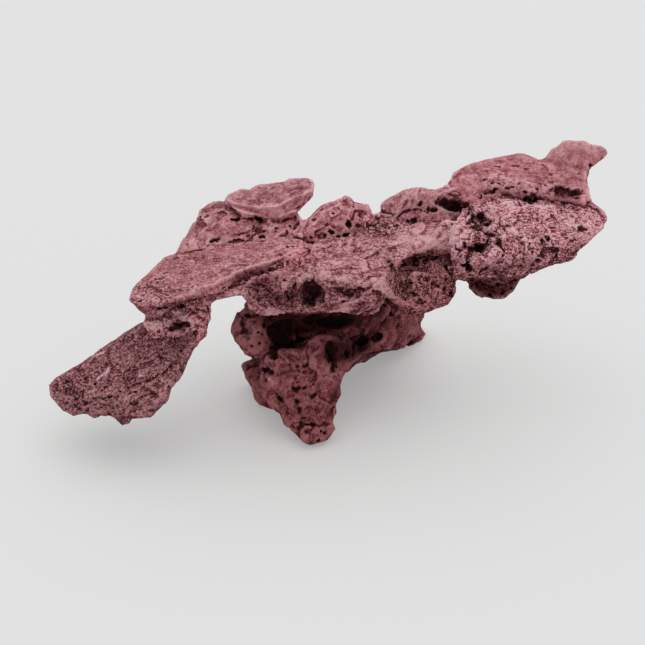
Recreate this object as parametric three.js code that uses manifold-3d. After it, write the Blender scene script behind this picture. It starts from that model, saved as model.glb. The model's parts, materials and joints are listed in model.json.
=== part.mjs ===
// Reef rock for an aquarium: a cantilevered structure of separate dry reef rocks bonded together.
// A footed base rock carries one boxy centre rock; thin shelf plates lap away to the left, a thick
// pitted block and a smooth plate lean out to the right, and knobs close the back.
// Units are millimetres, +Z is up, the open front of the structure faces -Y.
import * as THREE from 'three';
import Module from 'manifold-3d';

// ---- driving dimensions -------------------------------------------------------------------
const BOND_GAP = 0.34;        // clearance kept between two bonded rocks
const LUMP_RINGS = 7;         // rings from the top of a lump to its underside
const BROAD_RELIEF = 1.5;     // height of the broad swells on a rock surface
const BROAD_SPACING = 31;     // distance between two broad swells
const FINE_RELIEF = 0.75;     // height of the smaller bumps
const FINE_SPACING = 13;      // distance between two smaller bumps
const FLOOR = 0;              // the feet are dressed flat at this height
const SLAB_BELOW = 60;        // depth of the block that dresses the feet

// Section of a shelf plate from the middle of its top to the middle of its underside:
// [share of the outline, share of the rise (positive) or of the thickness (negative)].
const PLATE_SECTION = [
  [0, 1], [0.42, 0.9], [0.76, 0.55], [0.95, 0.0], [1.0, -0.26], [0.985, -0.62], [0.9, -0.9], [0.55, -1.0], [0, -1.0],
];

// Each rock is one solid, joined from one or more lobes.
//   at, normal   middle of the lobe's outline and the direction its outline faces
//   up, down     height of the lobe above and below the plane of the outline
//   power        2 is an ellipsoid section, larger is boxier (lumps only)
//   taper        width of the underside against the outline
//   outline      points around the lobe in its own plane, measured from `at`
const LOBES = {
  base_rock: [
    { // front leg
      form: 'lump', at: [-12.9, -9.9, 41.2], normal: [0.0132, -0.8536, 0.5207],
      up: 16, down: 40, power: 2.7, taper: 1, segments: 23,
      outline: [[-42, 5.9], [-37.7, -5.8], [-32.7, -15.8], [-26.8, -21.6], [-21.8, -29.1], [-18.4, -35.7], [-10.9, -44], [-4.2, -51.4], [4.1, -53.1], [16.6, -49], [22.5, -43.2], [24.1, -37.4], [21.6, -33.2], [21.6, -26.6], [25, -22.4], [24.2, -15.8], [28.4, -6.6], [29.2, -1.6], [27.5, 5.9], [31.7, 11], [37.6, 21], [39.4, 32.8], [31.8, 42.9], [19.2, 46.2], [4, 42], [-6, 33.6], [-14.4, 31.1], [-27, 29.4], [-37.9, 24.3], [-41.2, 16]],
    },
    { // left flange
      form: 'lump', at: [-45, 38.6, 14.8], normal: [0.0597, -0.8569, 0.5121],
      up: 20, down: 34, power: 2.7, taper: 1, segments: 15,
      outline: [[-16.6, 23.8], [-27.4, 22], [-30, 14.8], [-26.3, 2.2], [-20.9, -7.6], [-17.3, -15.7], [-9.2, -22.8], [2.4, -28.2], [15.9, -29.1], [24.9, -19.3], [26.6, -5], [23, 9.4], [14, 22], [-4.1, 27.4]],
    },
    { // left buttress
      form: 'lump', at: [-49.7, 21.9, 79.9], normal: [0.0699, -0.8865, 0.4575],
      up: 14, down: 52, power: 2.8, taper: 1, segments: 19,
      outline: [[-18.6, 20.9], [-23.7, 12.4], [-27.9, 4], [-29.6, -3.7], [-26.6, -11.3], [-20.3, -20.6], [-11.8, -27.4], [-1.7, -31.7], [11.9, -26.6], [23.8, -16.5], [27.2, -2.8], [23.8, 12.5], [20.4, 26.1], [6.8, 31.2], [-6.8, 27.7]],
    },
    { // core
      form: 'lump', at: [7.8, 58, 70.6], normal: [-0.0053, -0.8904, 0.4552],
      up: 12, down: 50, power: 3, taper: 1, segments: 20,
      outline: [[-61.7, -14.8], [-49.2, -30.9], [-32.3, -43.3], [-14.5, -54], [8.7, -52.2], [21.1, -44.2], [39.8, -24.6], [54, -2.4], [61.2, 29.7], [46.9, 45.7], [12.2, 47.5], [-27.8, 40.4], [-49.2, 19], [-59.9, 4.8]],
    },
    { // rear arm
      form: 'lump', at: [52, 104.4, 34.9], normal: [0.8267, -0.5499, 0.1191],
      up: 17, down: 30, power: 2.9, taper: 1, segments: 24,
      outline: [[-75.8, -19.1], [-54.3, -28.1], [-32, -22.8], [-8.6, -21.8], [10.1, -22.4], [41.6, -28.1], [70.7, -29.8], [90.1, -28.9], [92, -24], [80.6, -15], [84.6, -8.4], [84, 1.3], [64.1, 16.8], [35.2, 29.5], [0.8, 32.1], [-34.7, 29.5], [-64.8, 20.9], [-87, 9.5], [-93.2, -5.4]],
    },
    { // back swell
      form: 'lump', at: [8, 92, 58], normal: [0.103, 0.927, 0.3605],
      up: 26, down: 40, power: 2.7, taper: 1, segments: 18,
      outline: [[46.3, 0], [40.5, 16.8], [27, 29.3], [8.8, 33.2], [-10.1, 38.4], [-30.6, 33.1], [-37.9, 15.8], [-41.7, 0], [-38.8, -16.1], [-27.8, -30.1], [-10.8, -40.9], [9.4, -35.7], [24.3, -26.3], [41.4, -17.2]],
    },
    { // heel
      form: 'lump', at: [-22, 44, 24], normal: [0, -0.1961, 0.9806],
      up: 26, down: 40, power: 2.7, taper: 1, segments: 15,
      outline: [[34.6, 0], [30.3, 16.3], [19, 26.7], [7.8, 38], [-8.5, 41.4], [-20.4, 28.6], [-28.9, 15.5], [-33.4, 0], [-30.9, -16.7], [-23.4, -32.8], [-7.4, -36.1], [6.7, -32.7], [22, -30.9], [32.4, -17.4]],
    },
    { // saddle
      form: 'lump', at: [6, 46, 90], normal: [0, -0.1191, 0.9929],
      up: 26, down: 34, power: 2.7, taper: 1, segments: 18,
      outline: [[55.7, 0], [56.9, 13.7], [34.3, 21.5], [11.5, 25.3], [-12.3, 27], [-35, 22], [-55.1, 13.3], [-56.3, 0], [-44, -10.6], [-35.5, -22.3], [-13.4, -29.3], [12.6, -27.6], [34.8, -21.8], [45.9, -11]],
    },
    { // arm root
      form: 'lump', at: [40, 78, 62], normal: [0.3015, 0.3015, 0.9045],
      up: 40, down: 34, power: 2.7, taper: 1, segments: 16,
      outline: [[36.1, 24.7], [20.6, 33.1], [5.1, 41.9], [-15.6, 42.3], [-29.1, 25.8], [-37.7, 9.7], [-41.9, -7.9], [-36.6, -25], [-25.2, -40.4], [-4.9, -40.7], [12.2, -33.1], [31.1, -27.5], [42.9, -11], [43.2, 8.2]],
    },
  ],
  centre_rock: [
    { // body
      form: 'plate', at: [14.6, 17.6, 145.6], normal: [-0.06, -0.16, 0.9853],
      up: 2.5, down: 37, power: 2.6, taper: 0.93, segments: 27,
      outline: [[-71, -42.7], [-59, -34], [-45.8, -29.5], [-32.5, -25], [-18.2, -29.2], [-1, -37.8], [16, -42.1], [30.7, -42], [40.5, -20.1], [50.3, 6], [55.2, 27.8], [50.1, 51.7], [33.4, 58.6], [12.8, 35.4], [-15.1, 28.4], [-29.2, 18.5], [-47.1, 6.2], [-66.7, -10.1], [-77.4, -29.5], [-80.3, -43.2]],
    },
    { // ledge
      form: 'plate', at: [-53.9, -4.8, 132.6], normal: [-0.1188, -0.0792, 0.9898],
      up: 1, down: 5.5, power: 2.6, taper: 1, segments: 18,
      outline: [[-35.5, -17.8], [-27.6, -13.1], [-17.4, -12.1], [-7, -12.7], [3.4, -13.3], [14.6, -15.6], [30.1, -9.3], [20.9, 24.5], [4.6, 19.5], [-10.3, 10], [-24.2, 1.4], [-35.7, -5.1], [-44.7, -17.5]],
    },
    { // shelf
      form: 'plate', at: [61.1, 33.4, 152.9], normal: [-0.0502, -0.2209, 0.974],
      up: 3.5, down: 11, power: 2.6, taper: 0.95, segments: 26,
      outline: [[-39.5, -46], [-18.1, -42.2], [-3.9, -28.4], [13.9, -15.9], [27.5, -8.4], [39.4, -11.4], [43, -15.1], [49.2, -9.9], [57.8, -6.3], [60.2, 0], [58.7, 14.1], [53, 29.6], [45.2, 35.7], [41, 44.6], [33.7, 40.5], [26.1, 31.7], [15.4, 24.9], [5, 33.3], [-5.7, 39.6], [-12.8, 36.2], [-23.5, 24.8], [-34.8, 10.6], [-50, -4.2], [-58.3, -27.4]],
    },
    { // flank
      form: 'lump', at: [74.6, 39.8, 127.6], normal: [-0.1039, -0.9132, 0.394],
      up: 12, down: 30, power: 2.8, taper: 1, segments: 16,
      outline: [[-10.8, -21.4], [9.3, -14.6], [27.7, -8.7], [36.7, 0.6], [37.5, 10.6], [29.1, 19.8], [14.1, 22.4], [-5.1, 19.9], [-21.9, 12.4], [-32.8, -2.8], [-36.2, -24.9]],
    },
  ],
  under_shelf_rock: [
    { // whole rock
      form: 'lump', at: [77.9, 17.3, 118.3], normal: [-0.1056, -0.902, 0.4187],
      up: 14, down: 26, power: 2.8, taper: 1, segments: 20,
      outline: [[-33.7, -7.6], [-23.8, -12.6], [-12.2, -18.3], [-2.3, -22.5], [5.9, -21.2], [17.4, -18.3], [28, -14.5], [32.8, -9.2], [34.8, -1.8], [32.7, 4.8], [25.4, 14.6], [13.9, 20.4], [0.8, 22.1], [-12.3, 18.8], [-23.8, 13.1], [-35.4, 8.1], [-38.7, -1.8]],
    },
  ],
  left_shelf_plate: [
    { // plate
      form: 'plate', at: [-89.3, 19.9, 140.1], normal: [-0.119, -0.0496, 0.9917],
      up: 1.6, down: 9, power: 2.6, taper: 0.97, segments: 27,
      outline: [[-62.1, -46.1], [-55.6, -55.7], [-42.6, -63.3], [-28.7, -58.4], [-15.5, -52.4], [-3.7, -46.9], [9.1, -34.6], [23.3, -23.2], [39, -18], [58.8, -9.2], [77.2, 4.9], [82.1, 10.4], [76.9, 23.6], [59.5, 38.2], [37.5, 48.2], [15.5, 49.9], [-6.2, 48.3], [-24.8, 42.8], [-34.7, 32.2], [-46.2, 28.2], [-51, 13], [-53.8, 2.4], [-56.9, -4.2], [-62.8, -17.1], [-64.1, -35.7]],
    },
    { // thick end
      form: 'lump', at: [-134.7, -10, 120.7], normal: [0.1866, -0.8862, 0.424],
      up: 9, down: 18, power: 2.7, taper: 1, segments: 15,
      outline: [[-18.3, -4.4], [-11.4, -11.9], [-3.6, -14.7], [3.5, -14], [11.4, -9.2], [22.5, -2.8], [25.7, 5.2], [11.4, 8.4], [-1.1, 12.3], [-11.2, 13.9], [-19, 9.1], [-20.6, 2]],
    },
  ],
  left_joint_rock: [
    { // whole rock
      form: 'lump', at: [-116.6, -1.2, 98.8], normal: [0.1546, -0.8817, 0.4457],
      up: 11, down: 16, power: 2.9, taper: 1, segments: 18,
      outline: [[-28.7, -6.4], [-21.5, -12.9], [-9.5, -17.1], [4.2, -20.4], [14, -20.4], [20.5, -14.7], [22.1, -6.5], [24.1, 3.4], [25, 9.1], [24.1, 14], [19.7, 19.8], [4.3, 19.7], [-11.8, 15.5], [-24.7, 9], [-29.4, 1.7]],
    },
  ],
  lower_left_slab: [
    { // whole rock
      form: 'plate', at: [-159, -31.8, 68.1], normal: [-0.261, -0.4517, 0.8532],
      up: 2, down: 16, power: 2.6, taper: 0.86, segments: 27,
      outline: [[-62.3, -19.7], [-51.9, -27.7], [-40.2, -34], [-22.5, -36.6], [-3.4, -38.5], [8.6, -45.5], [16.1, -44.8], [25.9, -43.6], [33.5, -37.7], [39.3, -29.7], [41.7, -21.1], [46.7, -12.8], [50.9, -3.3], [54.2, 6.5], [59.4, 14.2], [63.8, 23], [57.4, 28.1], [44.5, 35.3], [26.1, 42.7], [11, 49.5], [0.1, 43.4], [-11, 38.4], [-21.7, 31.3], [-34, 23.5], [-39.4, 17.5], [-51.9, 11.3], [-65.1, 4.3], [-69, -1.8], [-68.6, -10.4]],
    },
  ],
  back_left_rock: [
    { // whole rock
      form: 'plate', at: [-70.2, 68, 152.3], normal: [-0.0502, -0.3813, 0.9231],
      up: 2.5, down: 24, power: 2.6, taper: 0.85, segments: 24,
      outline: [[-40.3, -36.4], [-28.1, -32.4], [-7.2, -29.9], [13.8, -30.9], [34.7, -29.6], [53.1, -25.8], [58, -14.1], [56.1, -0.4], [50.8, 11.1], [41.8, 27], [16.8, 33.7], [-3, 38.7], [-19, 38.3], [-30.5, 37.7], [-40.5, 29], [-42.3, 20], [-47, 5.1], [-50.9, -7.2], [-53.8, -20.4], [-54.8, -34.6]],
    },
  ],
  top_left_flake: [
    { // flake
      form: 'plate', at: [-44.6, 91.9, 175.3], normal: [-0.1, -0.2201, 0.9703],
      up: 1.2, down: 12, power: 2.6, taper: 0.97, segments: 22,
      outline: [[-39.5, -10], [-28.2, -14.2], [-17.5, -19.1], [-5.9, -25.7], [4.4, -25.7], [18.6, -15.3], [29.7, -5.8], [35.7, 1.5], [38.2, 11.1], [35.5, 20.9], [24.8, 22.8], [14.9, 23.9], [2.5, 19.1], [-10.8, 16.7], [-19.3, 9.7], [-27.5, 12.7], [-38.7, 7], [-42.5, -0.6]],
    },
    { // thick end
      form: 'lump', at: [-30.2, 86.3, 168.6], normal: [0.0343, -0.9422, 0.3334],
      up: 8, down: 20, power: 2.8, taper: 1, segments: 15,
      outline: [[-20.7, -14.7], [-14.6, -19.1], [-3.3, -16.5], [2.8, -13.9], [6.3, -9.6], [10.7, -8.7], [13.3, -5.2], [18.5, -0.1], [22.9, 4.2], [23.8, 12.8], [17.7, 18], [2.1, 15.4], [-10.9, 8.5], [-22.3, -0.9]],
    },
  ],
  back_knob_rock: [
    { // whole rock
      form: 'lump', at: [11.8, 66.3, 154.2], normal: [-0.0149, -0.9368, 0.3495],
      up: 16, down: 26, power: 2.8, taper: 1, segments: 23,
      outline: [[-35.4, -1.1], [-41.4, -7.1], [-40.6, -15.6], [-32.9, -19.9], [-15.7, -21.6], [1.5, -19.9], [13.5, -17.3], [27.2, -12.2], [38.2, -2.8], [39.9, 9.1], [33, 9.1], [31.3, 14.2], [27.9, 19.3], [18.5, 20.5], [13.4, 22.2], [9.5, 28.1], [2.3, 25.6], [-0.3, 22.2], [-7.1, 22.2], [-15.7, 16.7], [-19.1, 13.3], [-25.1, 6.5], [-30.2, 3.1]],
    },
  ],
  back_lobe_rock: [
    { // whole rock
      form: 'lump', at: [89.4, 75.1, 165.9], normal: [-0.11, -0.936, 0.3345],
      up: 16, down: 26, power: 2.8, taper: 1, segments: 20,
      outline: [[-39.9, -3.2], [-36.4, -9.2], [-26, -15.2], [-15.6, -18.6], [-1.9, -19.5], [11.8, -20.3], [25.4, -18.5], [35.4, -10.8], [36.8, 3.6], [29.8, 16.3], [19.6, 21.4], [12, 18.9], [2.7, 18.5], [-5, 20.6], [-12.7, 19.4], [-23.8, 16], [-36.6, 9.2], [-40.8, 2.8]],
    },
  ],
  right_front_block: [
    { // block
      form: 'plate', at: [164.9, 34.2, 166.4], normal: [0, -0.4202, 0.9074],
      up: 3, down: 26, power: 2.6, taper: 0.84, segments: 29,
      outline: [[-60.4, -16], [-62.6, -31.3], [-58.2, -44.1], [-47.5, -47.2], [-36.4, -46.2], [-25.1, -44.1], [-13.3, -44.1], [0.5, -40.9], [10, -35.6], [20.4, -30.2], [34.1, -24.8], [49.9, -17.1], [59.5, -9.3], [70.6, 2], [75.2, 12.3], [72.9, 21.7], [61.4, 31.8], [43, 31.8], [28.3, 34.8], [18.3, 40.8], [-1, 48.8], [-16.6, 46.3], [-26.2, 36.6], [-35.8, 25.2], [-46.9, 22.9], [-54.8, 10], [-58.2, -0.3]],
    },
    { // lower lobe
      form: 'lump', at: [158.9, 40, 126.6], normal: [-0.2072, -0.8952, 0.3945],
      up: 12, down: 24, power: 2.8, taper: 1, segments: 22,
      outline: [[-36.4, -12.2], [-37.2, -15.6], [-35.1, -19], [-29.6, -22.4], [-24.5, -26.2], [-14.5, -27.4], [-4.5, -26.5], [2.5, -21], [6.1, -16.3], [9.4, -13.8], [15.9, -7.1], [19.9, -2.9], [31.3, 0.5], [40.1, 3.8], [51.4, 7.1], [56.9, 12.9], [59.2, 20.3], [44.7, 22.9], [23.7, 19.7], [0.8, 14.8], [-20.7, 13.2], [-39.1, 8.2], [-47.5, 0.6], [-44.9, -8]],
    },
    { // left cheek
      form: 'lump', at: [121, 20.3, 146.8], normal: [-0.1596, -0.9105, 0.3814],
      up: 10, down: 20, power: 2.7, taper: 1, segments: 15,
      outline: [[-14.5, -9.4], [-12.8, -16.7], [-7.9, -21.6], [6.5, -17.5], [17.6, -6.1], [17.4, 9.3], [5.3, 19.8], [-8.4, 19.1], [-13.9, 11.8], [-17, 2]],
    },
  ],
  right_back_plate: [
    { // plate
      form: 'plate', at: [167.7, 78.7, 192.6], normal: [-0.12, -0.4198, 0.8996],
      up: 3, down: 16, power: 2.6, taper: 0.94, segments: 26,
      outline: [[-56.4, -17.2], [-52.3, -26.1], [-46.3, -32.7], [-38, -32.5], [-30.9, -27.5], [-23.4, -20.1], [-14.7, -16.4], [-3.1, -22.6], [12.7, -26.9], [25, -26.1], [40.2, -32.7], [50.8, -36.3], [53.4, -26.1], [55.6, -9.6], [58.5, 4.7], [58.2, 23.6], [45.8, 25.3], [32.8, 23.2], [20.8, 22.3], [15.3, 25.6], [10.9, 30.7], [1.8, 33], [-14.8, 31.6], [-32.6, 26.9], [-44.1, 24], [-55.2, 15.3], [-60.7, 6.6], [-63.6, -3]],
    },
    { // tip
      form: 'lump', at: [215.3, 91.5, 204.6], normal: [-0.2687, -0.9232, 0.2749],
      up: 10, down: 14, power: 2.9, taper: 1, segments: 19,
      outline: [[-23.8, -9.6], [-14.3, -16.3], [-2.5, -19.7], [10.6, -17.9], [13.5, -10.3], [16.7, -9.4], [21.8, -5.2], [26, -0.2], [28.5, 6.5], [24.5, 12.7], [12.6, 14.4], [10.5, 16.9], [-0.2, 17.4], [-9.6, 17], [-14.9, 15.4], [-17.6, 10.4], [-24.1, 6.6], [-25.9, -0.2]],
    },
  ],
};

// Rocks higher in this list keep their shape; later rocks are fitted against them.
const FITTING_ORDER = [
  'centre_rock', 'left_shelf_plate', 'base_rock', 'under_shelf_rock', 'lower_left_slab', 'left_joint_rock',
  'top_left_flake', 'back_left_rock', 'right_front_block', 'back_knob_rock', 'back_lobe_rock', 'right_back_plate',
];

const FINISH = {
  base_rock: ['rock_base', 0x6f3c41, 0.93],
  centre_rock: ['rock_centre', 0xa06a70, 0.95],
  under_shelf_rock: ['rock_under_shelf', 0x74464b, 0.95],
  left_shelf_plate: ['rock_left_shelf', 0xa26d73, 0.92],
  left_joint_rock: ['rock_left_joint', 0x8d575d, 0.96],
  lower_left_slab: ['rock_lower_left', 0x7d4d51, 0.94],
  back_left_rock: ['rock_back_left', 0x8f5d63, 0.94],
  top_left_flake: ['rock_top_flake', 0x9c6a70, 0.9],
  back_knob_rock: ['rock_back_knob', 0x93636a, 0.92],
  back_lobe_rock: ['rock_back_lobe', 0x8b5a61, 0.93],
  right_front_block: ['rock_right_block', 0xa2727a, 0.95],
  right_back_plate: ['rock_right_plate', 0x996b72, 0.88],
};

// ---- surface relief -----------------------------------------------------------------------
const lattice = (i, j, k, salt) => {
  const s = Math.sin(i * 127.1 + j * 311.7 + k * 74.7 + salt * 53.3) * 43758.5453;
  return (s - Math.floor(s)) * 2 - 1;
};
const ease = (t) => t * t * (3 - 2 * t);
const swell = (p, spacing, salt) => {
  const x = p.x / spacing, y = p.y / spacing, z = p.z / spacing;
  const i = Math.floor(x), j = Math.floor(y), k = Math.floor(z);
  const u = ease(x - i), v = ease(y - j), w = ease(z - k);
  let sum = 0;
  for (let c = 0; c < 8; c++) {
    const a = c & 1, b = (c >> 1) & 1, d = (c >> 2) & 1;
    sum += lattice(i + a, j + b, k + d, salt) * (a ? u : 1 - u) * (b ? v : 1 - v) * (d ? w : 1 - w);
  }
  return sum;
};

// ---- one lobe -----------------------------------------------------------------------------
// distance from the middle to the outline in direction `angle`
const reach = (outline, angle) => {
  const dx = Math.cos(angle), dy = Math.sin(angle);
  let far = 0;
  for (let i = 0; i < outline.length; i++) {
    const [ax, ay] = outline[i], [bx, by] = outline[(i + 1) % outline.length];
    const ex = bx - ax, ey = by - ay;
    const det = dx * ey - dy * ex;
    if (Math.abs(det) < 1e-9) continue;
    const t = (ax * ey - ay * ex) / det;
    const s = (ax * dy - ay * dx) / det;
    if (t > far && s >= -1e-6 && s <= 1 + 1e-6) far = t;
  }
  return far;
};

const lobeGeometry = (lobe, salt) => {
  const section = [];
  if (lobe.form === 'plate') {
    for (const [share, h] of PLATE_SECTION) section.push(new THREE.Vector2(share, h));
  } else {
    for (let i = 0; i < LUMP_RINGS; i++) {
      const a = (Math.PI * i) / (LUMP_RINGS - 1);
      const e = 2 / lobe.power;
      const c = Math.cos(a);
      section.push(new THREE.Vector2(i === 0 || i === LUMP_RINGS - 1 ? 0 : Math.sin(a) ** e, Math.sign(c) * Math.abs(c) ** e));
    }
  }
  // the lathe turns about +Y; running the section from the underside up makes its faces point out
  const turned = new THREE.LatheGeometry(section.slice().reverse(), lobe.segments);
  const n = new THREE.Vector3(...lobe.normal).normalize();
  const u = new THREE.Vector3(1, 0, 0).addScaledVector(n, -n.x).normalize();
  const v = new THREE.Vector3().crossVectors(n, u);
  const at = new THREE.Vector3(...lobe.at);
  const pos = turned.getAttribute('position');
  const p = new THREE.Vector3(), q = new THREE.Vector3();
  for (let i = 0; i < pos.count; i++) {
    const x = pos.getX(i), h = pos.getY(i), y = -pos.getZ(i);
    const share = Math.hypot(x, y);
    const angle = Math.atan2(y, x);
    const narrow = h < 0 ? 1 + (lobe.taper - 1) * -h : 1;
    const r = share < 1e-6 ? 0 : share * narrow * reach(lobe.outline, angle);
    p.copy(at).addScaledVector(u, r * Math.cos(angle)).addScaledVector(v, r * Math.sin(angle));
    p.addScaledVector(n, h > 0 ? h * lobe.up : h * lobe.down);
    q.copy(p).sub(at).normalize();
    if (lobe.form === 'plate') q.lerp(n.clone().multiplyScalar(Math.sign(h) || 1), 0.6).normalize();
    const lift = BROAD_RELIEF * swell(p, BROAD_SPACING, salt) + FINE_RELIEF * swell(p, FINE_SPACING, salt + 7);
    p.addScaledVector(q, lift);
    pos.setXYZ(i, p.x, p.y, p.z);
  }
  return turned;
};

// ---- solids -------------------------------------------------------------------------------
const wasm = await Module();
wasm.setup();

// vertices at the same place become one, faces that close up are dropped
const welded = (geometry) => {
  const pos = geometry.getAttribute('position');
  const seen = new Map(), verts = [], remap = [];
  for (let i = 0; i < pos.count; i++) {
    const key = [pos.getX(i), pos.getY(i), pos.getZ(i)].map((c) => Math.round(c * 1e4)).join(',');
    if (!seen.has(key)) {
      seen.set(key, verts.length / 3);
      verts.push(pos.getX(i), pos.getY(i), pos.getZ(i));
    }
    remap.push(seen.get(key));
  }
  const index = geometry.index ? Array.from(geometry.index.array) : Array.from({ length: pos.count }, (_, i) => i);
  const tris = [];
  for (let i = 0; i < index.length; i += 3) {
    const [a, b, c] = [remap[index[i]], remap[index[i + 1]], remap[index[i + 2]]];
    if (a !== b && b !== c && a !== c) tris.push(a, b, c);
  }
  return { verts, tris };
};

const volume = (verts, tris) => {
  let six = 0;
  for (let i = 0; i < tris.length; i += 3) {
    const [a, b, c] = [tris[i] * 3, tris[i + 1] * 3, tris[i + 2] * 3];
    six += verts[a] * (verts[b + 1] * verts[c + 2] - verts[b + 2] * verts[c + 1])
      - verts[a + 1] * (verts[b] * verts[c + 2] - verts[b + 2] * verts[c])
      + verts[a + 2] * (verts[b] * verts[c + 1] - verts[b + 1] * verts[c]);
  }
  return six / 6;
};

const solidOf = (verts, tris) => {
  const t = volume(verts, tris) < 0 ? tris.map((_, i) => tris[i - (i % 3) + (2 - (i % 3))]) : tris;
  return new wasm.Manifold(new wasm.Mesh({
    numProp: 3, vertProperties: new Float32Array(verts), triVerts: new Uint32Array(t),
  }));
};

const geometryOf = (solid) => {
  const m = solid.getMesh();
  const g = new THREE.BufferGeometry();
  const v = new Float32Array(m.numVert * 3);
  for (let i = 0; i < m.numVert; i++) for (let k = 0; k < 3; k++) v[i * 3 + k] = m.vertProperties[i * m.numProp + k];
  g.setAttribute('position', new THREE.BufferAttribute(v, 3));
  g.setIndex(Array.from(m.triVerts));
  return g;
};

// only the largest closed body of a fitted rock is kept; crumbs left by the fitting go
const largestBody = (solid) => {
  const { verts, tris } = welded(geometryOf(solid));
  const parent = Array.from({ length: verts.length / 3 }, (_, i) => i);
  const find = (i) => { while (parent[i] !== i) { parent[i] = parent[parent[i]]; i = parent[i]; } return i; };
  for (let i = 0; i < tris.length; i += 3) {
    parent[find(tris[i])] = find(tris[i + 1]);
    parent[find(tris[i + 1])] = find(tris[i + 2]);
  }
  const bodies = new Map();
  for (let i = 0; i < tris.length; i += 3) {
    const r = find(tris[i]);
    if (!bodies.has(r)) bodies.set(r, []);
    bodies.get(r).push(tris[i], tris[i + 1], tris[i + 2]);
  }
  let best = null, most = 0;
  for (const list of bodies.values()) {
    const vol = volume(verts, list);
    if (vol > most) { most = vol; best = list; }
  }
  const keep = new Map(), v = [], t = [];
  for (const i of best) {
    if (!keep.has(i)) { keep.set(i, v.length / 3); v.push(verts[i * 3], verts[i * 3 + 1], verts[i * 3 + 2]); }
    t.push(keep.get(i));
  }
  return solidOf(v, t);
};

// the same rock swollen by the bond gap along its averaged face directions
const grown = (solid, by) => {
  const g = geometryOf(solid);
  const { verts, tris } = welded(g);
  const normals = new Float64Array(verts.length);
  for (let i = 0; i < tris.length; i += 3) {
    const [a, b, c] = [tris[i] * 3, tris[i + 1] * 3, tris[i + 2] * 3];
    const e = new THREE.Vector3(verts[b] - verts[a], verts[b + 1] - verts[a + 1], verts[b + 2] - verts[a + 2]);
    const f = new THREE.Vector3(verts[c] - verts[a], verts[c + 1] - verts[a + 1], verts[c + 2] - verts[a + 2]);
    const k = new THREE.Vector3().crossVectors(e, f);
    for (const o of [a, b, c]) { normals[o] += k.x; normals[o + 1] += k.y; normals[o + 2] += k.z; }
  }
  const out = verts.slice();
  for (let i = 0; i < verts.length; i += 3) {
    const len = Math.hypot(normals[i], normals[i + 1], normals[i + 2]) || 1;
    for (let k = 0; k < 3; k++) out[i + k] += (normals[i + k] / len) * by;
  }
  return solidOf(out, tris);
};

// join the lobes of every rock
const rocks = {};
Object.entries(LOBES).forEach(([name, lobes], r) => {
  let body = null;
  lobes.forEach((lobe, i) => {
    const { verts, tris } = welded(lobeGeometry(lobe, r * 11 + i));
    const solid = solidOf(verts, tris);
    body = body ? body.add(solid) : solid;
  });
  rocks[name] = body;
});

// dress the feet flat
const below = new THREE.BoxGeometry(900, 900, SLAB_BELOW).translate(0, 0, FLOOR - SLAB_BELOW / 2);
const belowSolid = (() => { const { verts, tris } = welded(below); return solidOf(verts, tris); })();
for (const name of Object.keys(rocks)) rocks[name] = rocks[name].subtract(belowSolid);

// fit each rock against the ones before it
const fitted = {};
for (const name of FITTING_ORDER) {
  let body = largestBody(rocks[name]);
  for (const done of Object.keys(fitted)) body = body.subtract(grown(fitted[done], BOND_GAP)).subtract(fitted[done]);
  fitted[name] = largestBody(body);
}

// ---- the part -----------------------------------------------------------------------------
const box = new THREE.Box3();
const geometries = {};
for (const [name, body] of Object.entries(fitted)) {
  geometries[name] = geometryOf(body);
  geometries[name].computeBoundingBox();
  box.union(geometries[name].boundingBox);
}
const shift = [-(box.min.x + box.max.x) / 2, -(box.min.y + box.max.y) / 2, -box.min.z];

const part = new THREE.Group();
part.name = 'aquarium_reef_rock';
for (const [name, geometry] of Object.entries(geometries)) {
  geometry.translate(...shift);
  geometry.computeVertexNormals();
  const [slot, colour, roughness] = FINISH[name];
  const material = new THREE.MeshStandardMaterial({ color: colour, roughness, metalness: 0, flatShading: true });
  material.name = slot;
  const mesh = new THREE.Mesh(geometry, material);
  mesh.name = name;
  part.add(mesh);
}

export default part;
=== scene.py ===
import json
import math
import bpy
import numpy as np
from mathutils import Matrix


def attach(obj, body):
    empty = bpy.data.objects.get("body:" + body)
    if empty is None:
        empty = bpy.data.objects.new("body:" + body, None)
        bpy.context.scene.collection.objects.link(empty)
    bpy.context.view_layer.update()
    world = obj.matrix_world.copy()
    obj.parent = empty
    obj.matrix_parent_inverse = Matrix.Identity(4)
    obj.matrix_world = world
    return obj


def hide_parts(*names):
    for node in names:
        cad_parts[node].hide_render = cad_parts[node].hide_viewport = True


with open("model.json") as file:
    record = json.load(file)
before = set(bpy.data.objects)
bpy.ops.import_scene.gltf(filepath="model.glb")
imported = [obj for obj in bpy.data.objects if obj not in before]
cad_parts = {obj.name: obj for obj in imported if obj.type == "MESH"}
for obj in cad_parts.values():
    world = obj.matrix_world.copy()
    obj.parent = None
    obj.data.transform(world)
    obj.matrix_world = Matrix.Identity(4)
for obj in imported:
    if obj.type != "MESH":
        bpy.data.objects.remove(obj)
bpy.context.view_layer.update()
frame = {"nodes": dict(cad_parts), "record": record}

import openvdb as vdb
from mathutils import Vector
from mathutils.bvhtree import BVHTree

F4 = np.float32

# ============================================================== the view of the object
# millimetres in the part's frame; the picture is taken as 645 x 645
IMG = 645.0
LENS, SENSOR = 50.0, 36.0
ELEV = math.radians(27.0)
SHIFT = np.array([-10.3965, -53.1101, 0.0])
TARGET = np.array([0.0, 0.0, 95.0]) + SHIFT
DIST = 734.583
TAN = (SENSOR / 2) / LENS
FWD = np.array([0.0, math.cos(ELEV), -math.sin(ELEV)])
RIGHT = np.array([1.0, 0.0, 0.0])
UP = np.cross(RIGHT, FWD)
EYE = TARGET - DIST * FWD


def ray(px, py):
    d = FWD + (px - IMG / 2) / (IMG / 2) * TAN * RIGHT - (py - IMG / 2) / (IMG / 2) * TAN * UP
    return d / np.linalg.norm(d)


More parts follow.
